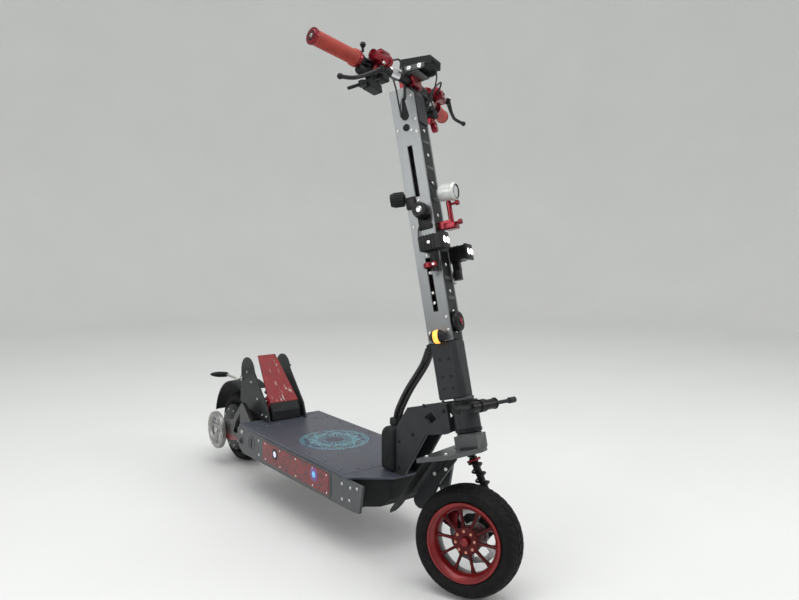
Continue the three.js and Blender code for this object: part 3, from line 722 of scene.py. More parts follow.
def neck_details():
    screws = Maker()
    for side in (-1, 1):
        for ahead, up in ((990, 232), (990, 300), (1046, 330), (1165, 412), (1092, 412)):
            screws.bolt((side * 30, ahead, up), (side, 0, 0), 4.6, 3.0)
    screws.done("gusset_bolts", *ON_DECK, "fork_grey")
    for label, along, height in (("lower", 386.5, 9), ("upper", 450.5, 8.6)):
        Maker().lathe([(30, 0), (31.5, 1), (31.5, height - 1), (30, height), (27, height),
                       (27, 0)], (0, 0, along), (0, 0, 1), 48, closed=True).done(
            f"headset_{label}", HEAD, "frame_body", "black_anodised")
    trim = Maker()
    for up in (236, 262, 288, 314):
        trim.box((0, 920.6, up), (60, 1.6, 3.2), 0.6)
    trim.done("neck_cover_ribs", *ON_DECK, "black_plastic")
    ball = Maker()
    ball.lathe([(0, -9), (5, -7.6), (8, -4), (9, 0), (8, 4), (5, 7.6), (0, 9)],
               (-61, *DAMPER_LINE), (1, 0, 0), 24)
    ball.rod((-61, *DAMPER_LINE), (-74, *DAMPER_LINE), 7.5)
    ball.done("damper_knob", DECK, "damper_rod_body", "black_anodised")
    rings = Maker()
    for left in (-22, 20, 50):
        rings.lathe([(12, -2), (13.4, -1.4), (13.4, 1.4), (12, 2), (10, 2), (10, -2)],
                    (left, *DAMPER_LINE), (1, 0, 0), 32, closed=True)
    rings.done("damper_rings", *ON_DECK, "black_steel")
    clamp = Maker()
    clamp.box((10, 1224, 436), (20, 44, 14), 3)
    clamp.lathe([(12.3, -8), (15, -7), (15, 7), (12.3, 8)], (10, *DAMPER_LINE), (1, 0, 0), 32,
                closed=True)
    clamp.done("damper_bracket", *ON_DECK, "black_anodised")


# ---------------------------------------------------------------- wheels
TREAD_STEPS, TREAD_BLOCKS = 288, 36


def groove_depth(radius, reach, angle):
    """How far the tread is cut in, at a distance from the middle and an angle round the tyre."""
    if radius <= 119.5:
        return 0.0
    phase = (angle * TREAD_BLOCKS / (2 * math.pi) + reach * 0.024) % 1.0
    if reach > 17.4 and (phase + 0.5) % 1.0 < 0.25:
        return 2.0
    if 3.2 < reach < 12.1 and phase < 0.22:
        return 1.8
    return 2.2 if 12.4 < reach < 17.0 or reach < 2.0 else 0.0


def treaded_tyre(name, space, body):
    """A road tyre: the carcass profile with shallow grooves across and along the tread."""
    half = [(84.6, -26), (90.8, -26.8), (91.6, -32), (95, -35.6), (101, -38.4), (108, -39.2),
            (113, -38.4), (118, -34.6), (120.2, -31.5), (121.6, -29), (123.5, -25), (125.0, -21),
            (125.9, -17.5), (126.2, -16), (126.6, -13.5), (126.9, -12), (127.2, -8),
            (127.4, -4.6), (127.5, -3.2), (127.5, 0)]
    full = half + [(radius, -left) for radius, left in reversed(half[:-1])]
    tyre = Maker()
    rings = []
    for angle in turns(TREAD_STEPS):
        section = [(left, radius - groove_depth(radius, abs(left), angle)) for radius, left in full]
        rings.append(tyre.ring(
            Vector((left, r * math.cos(angle), r * math.sin(angle))) * MM for left, r in section))
    skin(tyre.bm, rings, around=True)
    tyre.done(name + "_detailed", space, body, "tyre_rubber", (name,), smooth=28)


def front_wheel():
    treaded_tyre("front_tyre", *ON_FRONT_WHEEL)
    dish = [(90, -34), (90.4, -31.4), (88, -30.4), (84.2, -30), (83.8, -24), (83.8, -8),
            (72, -8), (72.6, -18), (76, -25), (80, -29), (84.5, -32), (87, -34)]
    barrel = [(83.8, -7.8), (83.8, 24), (84.2, 30), (88, 30.4), (90.4, 31.4), (90, 34),
              (87, 34), (84.6, 31.8), (81, 30), (78.5, 22), (73.5, 6), (72, -7.8)]
    Maker().lathe(dish, (0, 0, 0), SIDEWAYS, 96, closed=True).done(
        "front_rim_dish", *ON_FRONT_WHEEL, "rim_red")
    Maker().lathe(barrel, (0, 0, 0), SIDEWAYS, 96, closed=True).done(
        "front_rim_barrel", *ON_FRONT_WHEEL, "black_anodised", ("front_rim",),
        slot="black_anodised")
    lip = Maker()
    for left in (-34.6, 32.6):
        lip.lathe([(84.8, left), (89.4, left), (90.2, left + 1), (89.4, left + 2),
                   (84.8, left + 2)], (0, 0, 0), SIDEWAYS, 96, closed=True)
    lip.done("front_rim_lips", *ON_FRONT_WHEEL, "rim_red")
    spokes = Maker()
    for angle in turns(10, 0.5):
        turn = Matrix.Rotation(angle, 4, "X")
        rings = []
        for reach, half, front, back in ((22.0, 4.8, -16, -6), (34, 3.5, -14.4, -7),
                                         (58, 3.1, -13.4, -7.4), (73.4, 5.2, -14.4, -6)):
            section = [(front, -half * 0.72), (front - 1.2, 0), (front, half * 0.72),
                       (front + 1.6, half), (back, half), (back, -half), (front + 1.6, -half)]
            rings.append(spokes.ring(
                turn @ (Vector((left, side, reach)) * MM) for left, side in section))
        skin(spokes.bm, rings)
    spokes.lathe([(10, -17), (28, -18.4), (31, -16.8), (32, -14), (32, 6), (27, 12), (24, 15),
                  (24, 43), (10, 43)], (0, 0, 0), SIDEWAYS, 48, closed=True)
    spokes.done("front_rim_spokes", *ON_FRONT_WHEEL, "spoke_red", bevel=0.5)
    Maker().lathe([(0, 0), (9, 0), (10, -1.5), (10, -7), (9, -9), (6, -9.8), (5, -8.4),
                   (0, -8)], (-18, 0, 0), SIDEWAYS, 36).done(
        "front_hub_cap", *ON_FRONT_WHEEL, "rim_red")
    bolts = Maker()
    for angle in turns(8, 0.25):
        bolts.bolt((-18.2, 23.4 * math.cos(angle), 23.4 * math.sin(angle)), (-1, 0, 0), 3.5, 4.4)
    bolts.done("front_lug_bolts", *ON_FRONT_WHEEL, "rose_bolt")
    brake_disc("front_brake_disc_detailed", *ON_FRONT_WHEEL, 43.5, 45.3, ("front_brake_disc",))


def brake_disc(name, space, body, low, high, replaced=()):
    """A vented disc: a wavy braking ring on six arms."""
    disc = Maker()
    rings = []
    for left, radius in ((low, 64.8), (high, 64.8), (high, 50.5), (low, 50.5)):
        edge = [(t, radius + 1.1 * math.cos(12 * t)) for t in turns(144)]
        rings.append(disc.ring(
            Vector((left, r * math.cos(t), r * math.sin(t))) * MM for t, r in edge))
    skin(disc.bm, rings, around=True)
    for angle in turns(6):
        arm = Matrix.Translation(Vector(((low + high) / 2, -3, 42)) * MM)
        disc.box((0, 0, 0), (high - low - 0.3, 9, 27), 0.4,
                 Matrix.Rotation(angle, 4, "X") @ arm @ Matrix.Rotation(math.radians(14), 4, "X"))
    disc.lathe([(18, low), (31, low), (31, high), (18, high)], (0, 0, 0), (1, 0, 0), 48,
               closed=True)
    disc.done(name, space, body, "disc_steel", replaced)


DRUM_FACE = (-104.3, 0, 0)


def rear_wheel():
    treaded_tyre("rear_tyre", *ON_REAR_WHEEL)
    Maker().lathe([(0, -90), (12, -90), (20, -88), (20.5, -62), (30, -59), (72, -57.6),
                   (80, -51), (83.6, -46), (84, -37), (82, -34.6), (82, 34.6), (84, 37),
                   (83.6, 46), (80, 51), (72, 57.6), (30, 59), (20.5, 62), (20, 88), (12, 90),
                   (0, 90)], (0, 0, 0), SIDEWAYS, 64).done(
        "rear_hub_motor_detailed", *ON_REAR_WHEEL, "fork_grey",
        ("rear_hub_motor",))
    bolts = Maker()
    for angle in turns(10):
        for side in (-1, 1):
            bolts.button((side * 57.6, 66 * math.cos(angle), 66 * math.sin(angle)),
                         (side, 0, 0), 3.2, 2)
    bolts.done("motor_screws", *ON_REAR_WHEEL, "screw_steel")
    brake_disc("rear_brake_disc", *ON_REAR_WHEEL, 76, 78)
    drum = [(9.3, 0), (64, 0), (66, 2), (66.5, 12), (65.6, 16), (63, 17.4), (49, 17.2),
            (45.6, 14), (43, 8.8), (24, 8.4), (22, 11), (14, 11), (9.3, 10)]
    Maker().lathe(drum, DRUM_FACE, (-1, 0, 0), 72, closed=True).done(
        "rear_hub_cover_detailed", *ON_REAR_ARM, "drum_bare",
        ("rear_hub_cover",))
    # This ring carries a painted reflection of light and dark-blue patches, not a pattern on the cover.
    Maker().lathe([(25, 8.3), (42, 8.3), (42, 9.4), (25, 9.4)], DRUM_FACE, (-1, 0, 0), 64,
                  closed=True).done(
        "rear_hub_painted_reflection", *ON_REAR_ARM, "drum_silver")
    bolts = Maker()
    for angle in turns(6):
        bolts.button((-121.5, 56 * math.cos(angle), 56 * math.sin(angle)), (-1, 0, 0), 3.4, 2)
    bolts.bolt((-115, 0, 0), (-1, 0, 0), 9.5, 5)
    bolts.bolt((110, 0, 0), (1, 0, 0), 9.5, 5)
    bolts.done("hub_cover_screws", *ON_REAR_ARM, "screw_steel")
    caliper = Maker()
    caliper.box((80, 44, 34), (24, 34, 30), 4)
    caliper.box((88, 44, 8), (6, 26, 40), 1.5)
    caliper.done("rear_brake_caliper", *ON_REAR_ARM, "crimson_anodised")


GUARD_FRONT, GUARD_BACK, GUARD_STEPS = 62, 168, 48


def rear_guard():
    """The guard over the rear tyre: an arched sheet with turned-down edges."""
    section = [(-50, 163.0), (-50, 165.6), (-48.4, 168.0), (-42, 169.0), (-20, 169.6), (0, 169.8),
               (20, 169.6), (42, 169.0), (48.4, 168.0), (50, 165.6), (50, 163.0), (47.8, 163.0),
               (47, 165.4), (41, 166.4), (0, 167.2), (-41, 166.4), (-47, 165.4), (-47.8, 163.0)]
    guard = Maker()
    rings = []
    for i in range(GUARD_STEPS + 1):
        t = math.radians(GUARD_FRONT + (GUARD_BACK - GUARD_FRONT) * i / GUARD_STEPS)
        rings.append(guard.ring(
            Vector((left, -r * math.cos(t), r * math.sin(t))) * MM for left, r in section))
    skin(guard.bm, rings)
    guard.done("rear_mudguard_detailed", REAR_WHEEL, "frame_body", "black_plastic",
               ("rear_mudguard",))
    for side, label in SIDES:
        inner, outer = Vector((side * 90, 60, 336)), Vector((side * 158, 60, 344))
        reach = outer - inner
        leaf = Maker().lathe([(0, 0), (5.2, 1), (8.6, 7), (9.6, 22), (9.8, 36), (8.4, 50),
                              (5.6, 61), (2.6, 66.6), (0, reach.length)], inner, reach, 28)
        leaf.done(f"rear_signal_{label}_detailed", *ON_DECK, "black_plastic",
                  (f"rear_signal_{label}",), smooth=50)
        stalk = Maker().tube(curve_points([(side * 70.4, 128, 331), (side * 80, 128, 331),
                                           (side * 88, 122, 331.4), (side * 94, 96, 333.6),
                                           (side * 98, 66, 336.4)], 8), 4.6, 18)
        stalk.lathe([(0, 0), (8, 0), (8.6, 1), (8.6, 4), (7.6, 5), (0, 5)],
                    (side * 70.2, 128, 331), (side, 0, 0), 24)
        stalk.done(f"rear_signal_stalk_{label}", *ON_DECK, "bare_aluminium")
        lens = Maker().box((side * 126, 50.6, 340), (40, 2.4, 5.0), 1.0)
        lens.done(f"rear_signal_lens_{label}", *ON_DECK, "amber_lens")
    bolts = Maker()
    for side in (-1, 1):
        for ahead, up in ((172, 360), (128, 331), (205, 330), (285, 232), (315, 232), (250, 280)):
            bolts.bolt((side * 70, ahead, up), (side, 0, 0), 4.2, 2.8)
    bolts.done("tail_bolts", *ON_DECK, "screw_steel")


# ---------------------------------------------------------------- shock absorbers
def shock_set(name, upper, lower, space, cylinder_body, rod_body):
    up, low = Vector(upper), Vector(lower)
    along = low - up
    length = along.length

    def at(t):
        return up + along * t

    cylinder = Maker()
    cylinder.rod(up + Vector((-12, 0, 0)), up + Vector((12, 0, 0)), 9.4, sides=32)
    cylinder.lathe([(5.8, 0.1 * length), (11, 0.1 * length), (11, 0.125 * length),
                    (8.8, 0.14 * length), (8.8, 0.54 * length), (8, 0.56 * length),
                    (5.8, 0.56 * length)], upper, along, 40, closed=True)
    cylinder.lathe([(6, 0.05 * length), (10.5, 0.06 * length), (10.5, 0.1 * length),
                    (6, 0.1 * length)], upper, along, 32, closed=True)
    cylinder.done(f"{name}_shock_cylinder_detailed", space, cylinder_body, "black_anodised",
                  (f"{name}_shock_cylinder",))
    Maker().lathe([(12, 0.085 * length), (17, 0.085 * length), (17.6, 0.095 * length),
                   (17.6, 0.11 * length), (17, 0.12 * length), (12, 0.12 * length)],
                  upper, along, 40, closed=True).done(
        f"{name}_shock_preload_ring", space, cylinder_body, "crimson_anodised")
    rod = Maker()
    rod.rod(at(0.3), at(0.9), 4.7, sides=32)
    rod.lathe([(4, 0.835 * length), (17, 0.835 * length), (17.6, 0.845 * length),
               (17.2, 0.87 * length), (9, 0.885 * length), (8.4, 0.95 * length),
               (4, 0.95 * length)], upper, along, 40, closed=True)
    rod.done(f"{name}_shock_rod_detailed", space, rod_body, "polished_rod", (f"{name}_shock_rod",))
    start, stop, windings, steps = 0.125, 0.832, 5.5, 28
    axis = along.normalized()
    side = axis.cross(Vector((1, 0, 0))).normalized()
    other = axis.cross(side)
    path = []
    for i in range(int(windings * steps) + 1):
        t = i / (windings * steps)
        angle = 2 * math.pi * windings * t
        ease = min(1.0, max(0.0, (t - 0.04) / 0.92))
        here = at(start + 0.012 + (stop - start - 0.024) * ease)
        path.append(here + side * math.cos(angle) * 14.0 + other * math.sin(angle) * 14.0)
    coil = Maker().tube(path, 2.9, 12)
    bmesh.ops.transform(coil.bm, matrix=space, verts=coil.bm.verts)
    coil_obj = coil.done(f"{name}_shock_coil", Matrix.Identity(4), None, "black_steel",
                         (f"{name}_shock_spring",))
    list(space @ point(at(start)))
    list(space @ point(at(stop)))
    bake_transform(coil_obj)


# ---------------------------------------------------------------- fork
SHOCK_FOOT = (WHEELBASE + 37, 152)


def fork_details():
    crown_bolts = Maker()
    for left, forward in ((-80, -30), (-80, -78), (80, -30), (80, -78), (0, 18)):
        crown_bolts.bolt((left, forward, 348), (0, 0, 1), 5, 3.4)
    crown_bolts.done("crown_bolts", *ON_STEM, "screw_steel")
    Maker().box((0, 5, 352), (60, 44, 7), 2.2).done(
        "crown_front_pad", *ON_STEM, "gusset_grey", slot="fork_grey")
    leg = Maker()
    for forward, along in ((-78, 326), (-122, 326), (-96, 300), (-128, 292)):
        leg.bolt((60, forward, along), (1, 0, 0), 4.6, 3)
        leg.bolt((47, forward, along), (-1, 0, 0), 4.6, 3)
    leg.done("fork_leg_bolts", *ON_STEM, "screw_steel")
    arm = Maker()
    arm.bolt((74, WHEELBASE - 148, 181), (1, 0, 0), 12, 6)
    arm.bolt((74, WHEELBASE, FRONT_AXLE_UP), (1, 0, 0), 13, 7)
    arm.bolt((104, *SHOCK_FOOT), (1, 0, 0), 7, 4)
    arm.done("front_arm_bolts", FORK, "front_arm_body", "screw_steel")
    flap = Maker()
    top_ahead, top_up, tip_ahead, tip_up = WHEELBASE - 108, 300, WHEELBASE - 201, 149
    rows, columns = 22, 8
    rings = []
    for i in range(rows + 1):
        t = i / rows
        width = 29.6
        if t > 0.86:
            width *= math.sqrt(max(0.05, 1 - ((t - 0.86) / 0.15) ** 2))
        ahead, upward = top_ahead + (tip_ahead - top_ahead) * t, top_up + (tip_up - top_up) * t
        across = [2 * j / columns - 1 for j in range(columns + 1)]
        back = [(s, -0.4 - 1.2 * (1 - s * s)) for s in across]
        front = [(s, 2.4 - 1.2 * (1 - s * s)) for s in reversed(across)]
        rings.append(flap.ring(point((s * width, ahead + bow, upward)) for s, bow in back + front))
    skin(flap.bm, rings)
    flap.done("front_mud_flap_detailed", FORK, "steer_body", "soft_black", ("front_mud_flap",),
              smooth=50)


deck_details()
neck_details()
front_wheel()
rear_wheel()
rear_guard()
fork_details()
shock_set("rear", (0, 190, 352), (0, 201, 184.5), DECK, "rear_shock_body", "rear_shock_rod_body")
shock_set("front", (93, WHEELBASE - 46, 303), (93, *SHOCK_FOOT), FORK,
          "front_shock_body", "front_shock_rod_body")


# ---------------------------------------------------------------- stem
def stem_details():
    plate_face = 30
    screws = Maker()
    for side in (-1, 1):
        out = (side, 0, 0)
        for forward, along in ((-21.5, 692), (-21.5, 716), (-21.5, 806), (-21.5, 940),
                               (2, 625), (-46, 625), (2, 655), (2, 880), (2, 1105), (-44, 880),
                               (-10, 1112), (4, 1136), (-46, 1120), (2, 1196)):
            screws.button((side * plate_face, forward, along), out, 4.0, 2.0)
    for along in (620, 668, 716, 780, 845, 900, 980, 1050, 1112):
        screws.button((0, 9.5, along), (0, 1, 0), 4.2, 2.0)
        screws.button((0, -52, along), (0, -1, 0), 3.6, 1.6)
    screws.done("stem_screws", *ON_STEM, "screw_steel")
    bands = Maker()
    for along in (644, 700, 748, 816, 872, 940, 1018, 1082):
        bands.box((0, 9.7, along), (34, 1.8, 8), 0.7)
    bands.done("stem_front_bands", *ON_STEM, "crown_silver")
    Maker().slab([(-48, 608), (-52, 612), (-52, 1118), (-48, 1122), (-45.6, 1122), (-45.6, 608)],
                 "x", -23.4, 23.4).done(
        "stem_rear_cover", *ON_STEM, "black_anodised", bevel=0.6)
    openings = Maker()
    for side in (-1, 1):
        low, high = sorted((side * plate_face, side * (plate_face + 0.7)))
        drop = circle((-20, 1150), 10, 20, 170, 370) + [(-16, 1196), (-21, 1196)]
        openings.slab(drop, "x", low, high)
        openings.slab(circle((-22, 1122), 9, 24), "x", low, high)
    openings.done("stem_side_openings", *ON_STEM, "soft_black")
    pads = Maker()
    bolts = Maker()
    for side in (-1, 1):
        for forward in (-32, -10):
            for along in (492, 520, 560):
                pads.box((side * 30.2, forward, along), (1.2, 11, 11), 0.5)
                bolts.button((side * 31.2, forward, along), (side, 0, 0), 3.0, 1.6)
    pads.done("lower_block_pads", *ON_STEM, "gusset_grey", slot="stem_silver")
    bolts.done("lower_block_bolts", *ON_STEM, "fork_grey")
    collar = Maker()
    collar.lathe([(21, 0), (24, 1), (24, 8), (21, 9), (16.4, 9), (16.4, 0)], (0, 0, 459.5),
                 (0, 0, 1), 48, closed=True)
    collar.lathe([(26, -8), (29, -7), (29, 0), (26, 1.5), (16.4, 1.5), (16.4, -8)],
                 (0, 0, 383.8), (0, 0, 1), 48, closed=True)
    collar.done("steerer_collars", *ON_STEM, "crown_silver")


def barrel_knob(name, start, along, radius, length, material, cap):
    """A ribbed turning knob with a cap."""
    knob = Maker()
    knob.lathe([(0, 0), (radius * 0.62, 0), (radius * 0.62, length * 0.2),
                (radius, length * 0.24), (radius, length * 0.86), (radius * 0.9, length),
                (radius * 0.5, length), (radius * 0.46, length * 0.92), (0, length * 0.9)],
               start, along, 40)
    axis = Vector(along).normalized()
    across = axis.cross(Vector((0.2, 0.3, 0.9))).normalized()
    other = axis.cross(across)
    base = Vector(start)
    for angle in turns(16):
        foot = base + (across * math.cos(angle) + other * math.sin(angle)) * (radius - 0.1)
        knob.rod(foot + axis * length * 0.28, foot + axis * length * 0.82, 1.5, sides=8)
    knob.done(name, *ON_STEM, material)
    tip = base + axis * length * 0.9
    Maker().lathe([(0, 0), (radius * 0.42, 0), (radius * 0.42, 2.2), (radius * 0.3, 3), (0, 3.1)],
                  tip, along, 24).done(f"{name}_cap", *ON_STEM, cap)


def stem_fittings():
    barrel_knob("stem_side_knob", (-30, -13, 908), (-1, 0.12, 0.1), 18, 34, "black_anodised",
                "screw_steel")
    barrel_knob("stem_rear_knob", (-14, -53, 956), (-0.35, -1, 0.05), 17, 44, "black_plastic",
                "black_steel")
    strap = Maker()
    strap.box((-24, -40, 938), (26, 26, 30), 4)
    strap.box((-31, -12, 884), (6, 34, 34), 2)
    strap.done("stem_knob_bracket", *ON_STEM, "black_anodised")
    Maker().lathe([(0, 0), (22, 0), (25, 3), (25, 9), (22, 13), (17, 14), (15, 11.6), (11, 12.4),
                   (9, 15), (0, 16)], (0, 10.5, 642), (0, 1, 0), 48).done(
        "disc_horn", *ON_STEM, "black_anodised")
    Maker().lathe([(0, 0), (7, 0), (8, 0.8), (6, 2.0), (0, 2.4)], (0, 25.6, 642), (0, 1, 0),
                  32).done("horn_centre", *ON_STEM, "crimson_anodised")
    for side, label, forward, along in ((-1, "right", 10, 828), (1, "left", 24, 806)):
        x = side * 50
        front = forward + 31
        fins = Maker()
        for step in range(5):
            fins.box((x, forward - 24 + step * 8, along), (39, 3.2, 37), 0.8)
        fins.box((x, front - 3, along), (41, 7, 39), 2.4)
        fins.done(f"spot_light_fins_{label}", *ON_STEM, "black_anodised")
        lamps = Maker()
        reflectors = Maker()
        for offset in (-9.2, 9.2):
            reflectors.lathe([(8.6, 0), (8.8, 1.4), (7.4, 1.6), (6.6, 0)],
                             (x + offset, front, along), (0, 1, 0), 28, closed=True)
            lamps.lathe([(7.2, -0.4), (6.6, 1.2), (4.4, 2.2), (0, 2.7)],
                        (x + offset, front + 0.2, along), (0, 1, 0), 28)
        reflectors.done(f"spot_reflectors_{label}", *ON_STEM, "polished_rod")
        lamps.done(f"spot_lenses_{label}", *ON_STEM, "led_glow")
        clamp = Maker()
        clamp.lathe([(11.8, 0), (14.4, 1), (14.4, 11), (11.8, 12)], (x, forward - 20, along - 56),
                    (0, 0, 1), 32, closed=True)
        clamp.box((x - side * 3, forward - 6, along - 50), (22, 12, 12), 2.5)
        clamp.done(f"spot_clamp_{label}", *ON_STEM, "crimson_anodised")
        bolts = Maker()
        bolts.bolt((x + side * 19.4, forward - 4, along), (side, 0, 0), 4, 2.6)
        bolts.bolt((x + side * 8, forward - 6, along - 50), (side, 0, 0), 3.2, 2.4)
        bolts.bolt((x, forward - 20, along - 66), (0, 0, -1), 5, 5)
        bolts.done(f"spot_bolts_{label}", *ON_STEM, "screw_steel")
    lamp_axis = (0, 1, -0.13)
    Maker().lathe([(0, 0), (11, 0), (14, 1.4), (17, 5), (20.4, 7), (20.8, 9), (20.8, 18),
                   (20, 19), (20, 21), (20.8, 22), (20.8, 36), (22.2, 38), (22.2, 44.5),
                   (21, 46.6), (18, 46.6), (17, 43.5), (0, 43)], (0, 20, 951), lamp_axis, 48).done(
        "hex_lamp_detailed", *ON_STEM, "white_shell", ("hex_lamp",))
    Maker().lathe([(0, 0), (16.4, 0), (16.4, 1.6), (11, 3.4), (0, 4.2)], (0, 62.6, 945.4),
                  lamp_axis, 40).done("lamp_lens", *ON_STEM, "clear_lens")
    Maker().lathe([(16.6, 0), (18, 0), (18, 2), (16.6, 2.4)], (0, 64.4, 945.2), lamp_axis, 40,
                  closed=True).done("lamp_ring", *ON_STEM, "black_plastic")
    knobs = Maker()
    for forward, along in ((52, 918), (52, 872)):
        knobs.rod((0, forward - 4, along), (0, forward + 11, along), 3.2)
        knobs.rod((0, forward + 8, along), (0, forward + 16, along), 6.4)
    knobs.box((0, 40, 866), (30, 30, 16), 3)
    knobs.done("lamp_arm_knobs", *ON_STEM, "crimson_anodised")
    for side, label in SIDES:
        middle = (side * 47, -20, 612)
        shell = Maker()
        shell.lathe([(0, -20.5), (5, -20), (8, -17), (13, -12), (15.6, -8.4), (15.6, -7),
                     (13.4, -7), (13.4, 7), (15.6, 7), (15.6, 8.4), (13, 13), (8, 18), (5, 20),
                     (0, 20.5)], middle, (0, 1, 0), 40)
        shell.rod((side * 29, -20, 612), (side * 36, -20, 612), 6)
        shell.done(f"turn_signal_shell_{label}", *ON_STEM, "black_plastic",
                   (f"turn_signal_{label}",))
        Maker().lathe([(13, -6.8), (15.2, -6), (16.2, 0), (15.2, 6), (13, 6.8)],
                      middle, (0, 1, 0), 40, closed=True).done(
            f"turn_signal_lens_{label}", *ON_STEM, "amber_glow")


# ---------------------------------------------------------------- handlebar
BEND, TIP = (196, -36, 1243), (330, -68, 1262)
LEVER_LINES = {
    "left": [(176, 16, 1236), (190, 12.5, 1228.5), (206, 8, 1220), (223, 4.6, 1214),
             (240, 2, 1210), (262, 4, 1207.5), (286, 8, 1206)],
    "right": [(-176, 6, 1212), (-190, -4, 1204.5), (-206, -14, 1197), (-223, -23, 1190),
              (-240, -30, 1184), (-262, -34.6, 1179), (-286, -38, 1175)],
}


def mirrored(p, side):
    return (p[0] * side, p[1], p[2])


def handlebar_pieces():
    knots = [(-330, -68, 1262), (-268, -53.2, 1253.2), (-212, -39.8, 1245.3), (-190, -34.5, 1242.6),
             (-127, -20, 1239.5), (-70, -6.6, 1236.6), (-44, -4, 1236), (0, -4, 1236)]
    knots += [(-a, b, c) for a, b, c in reversed(knots[:-1])]
    Maker().tube(curve_points(knots, 6), 11, 28).done(
        "handlebar_detailed", *ON_STEM, "black_anodised", ("handlebar",), smooth=50)
    for side, label in SIDES:
        bend, tip = Vector(mirrored(BEND, side)), Vector(mirrored(TIP, side))
        along = tip - bend
        length = along.length
        low, high = 0.09 * length, 0.97 * length
        profile = [(11.4, low), (18.6, low), (19.4, low + 1), (19.4, low + 4.6), (17, low + 5.4)]
        here = low + 8
        while here < high - 12:
            profile += [(16.7, here), (16.7, here + 2.5), (15.9, here + 3.1), (15.9, here + 3.8)]
            here += 4.4
        profile += [(17.4, high - 6), (17.8, high - 5), (17.4, high - 1), (16, high), (11.4, high)]
        Maker().lathe(profile, bend, along, 48, closed=True).done(
            f"grip_{label}_detailed", *ON_STEM, "grip_rubber", (f"grip_{label}",))
        clamp = Maker()
        clamp.lathe([(11.3, low - 9), (19, low - 9), (19.8, low - 8), (19.8, low - 1.2),
                     (19, low - 0.3), (11.3, low - 0.3)], bend, along, 40, closed=True)
        clamp.lathe([(12, high - 4), (18.6, high - 3), (19.2, high - 1), (18.6, high + 1.6),
                     (12, high + 2)], bend, along, 40, closed=True)
        clamp.lathe([(0, high), (13.4, high), (14, high + 1.4), (12.5, high + 3.8),
                     (6, high + 4.4), (5.4, high + 2), (0, high + 2)], bend, along, 32)
        clamp.done(f"grip_clamp_{label}", *ON_STEM, "crimson_anodised")
        bolt = Maker().bolt(tuple(bend + along.normalized() * (high + 2.2)), along, 4.2, 2.6)
        bolt.done(f"bar_end_bolt_{label}", *ON_STEM, "screw_steel")
        knots = LEVER_LINES[label]
        pivot, before, end = Vector(knots[0]), Vector(knots[-2]), Vector(knots[-1])
        path = curve_points(knots, 6)
        radii = [6.6 - 2.0 * min(1, i / 14) for i in range(len(path))]
        lever = Maker().tube(path, 5, 16, radii)
        lever.lathe([(0, -6.4), (4.6, -5.2), (6.6, -2), (6.6, 2), (4.6, 5.2), (0, 6.4)],
                    end, end - before, 20)
        lean = Vector((0, 3.5, 7))
        lever.rod(pivot - lean, pivot + lean, 6.2)
        lever.done(f"brake_lever_{label}_detailed", STEM, f"brake_lever_{label}_body",
                   "black_anodised", (f"brake_lever_{label}",))
        brake_details(side, label)


def brake_details(side, label):
    reservoir = Maker()
    reservoir.box(mirrored((150, 3, 1258), side), (44, 20, 9), 3,
                  Matrix.Rotation(math.radians(4 * side), 4, "Y"))
    reservoir.lathe([(12.9, 0), (14, 0.8), (14, 6), (12.9, 7)], mirrored((133, 5.7, 1244.3), side),
                    mirrored((58, -10, 4), side), 32, closed=True)
    reservoir.done(f"brake_reservoir_{label}", *ON_STEM, "crimson_anodised")
    lid = Maker().box(mirrored((150, 3, 1263.2), side), (38, 16, 2.4), 1,
                      Matrix.Rotation(math.radians(4 * side), 4, "Y"))
    lid.done(f"brake_lid_{label}", *ON_STEM, "black_anodised")
    bolts = Maker()
    for left in (136, 164):
        bolts.button(mirrored((left, 3, 1264.6 - (left - 150) * 0.07), side), (0, 0, 1), 2.6, 1.4)
    bolts.bolt(mirrored((152, -30, 1252), side), (0, -1, 0.3), 3.2, 3)
    bolts.bolt(mirrored((152, -30, 1236), side), (0, -1, -0.3), 3.2, 3)
    if side > 0:
        bolts.bolt((176, 20, 1243), (0, 0.4, 1), 4.6, 3)
    else:
        bolts.bolt((-168, 11, 1228), (0, 1, 0.2), 4.2, 3)
    bolts.done(f"brake_bolts_{label}", *ON_STEM, "screw_steel")


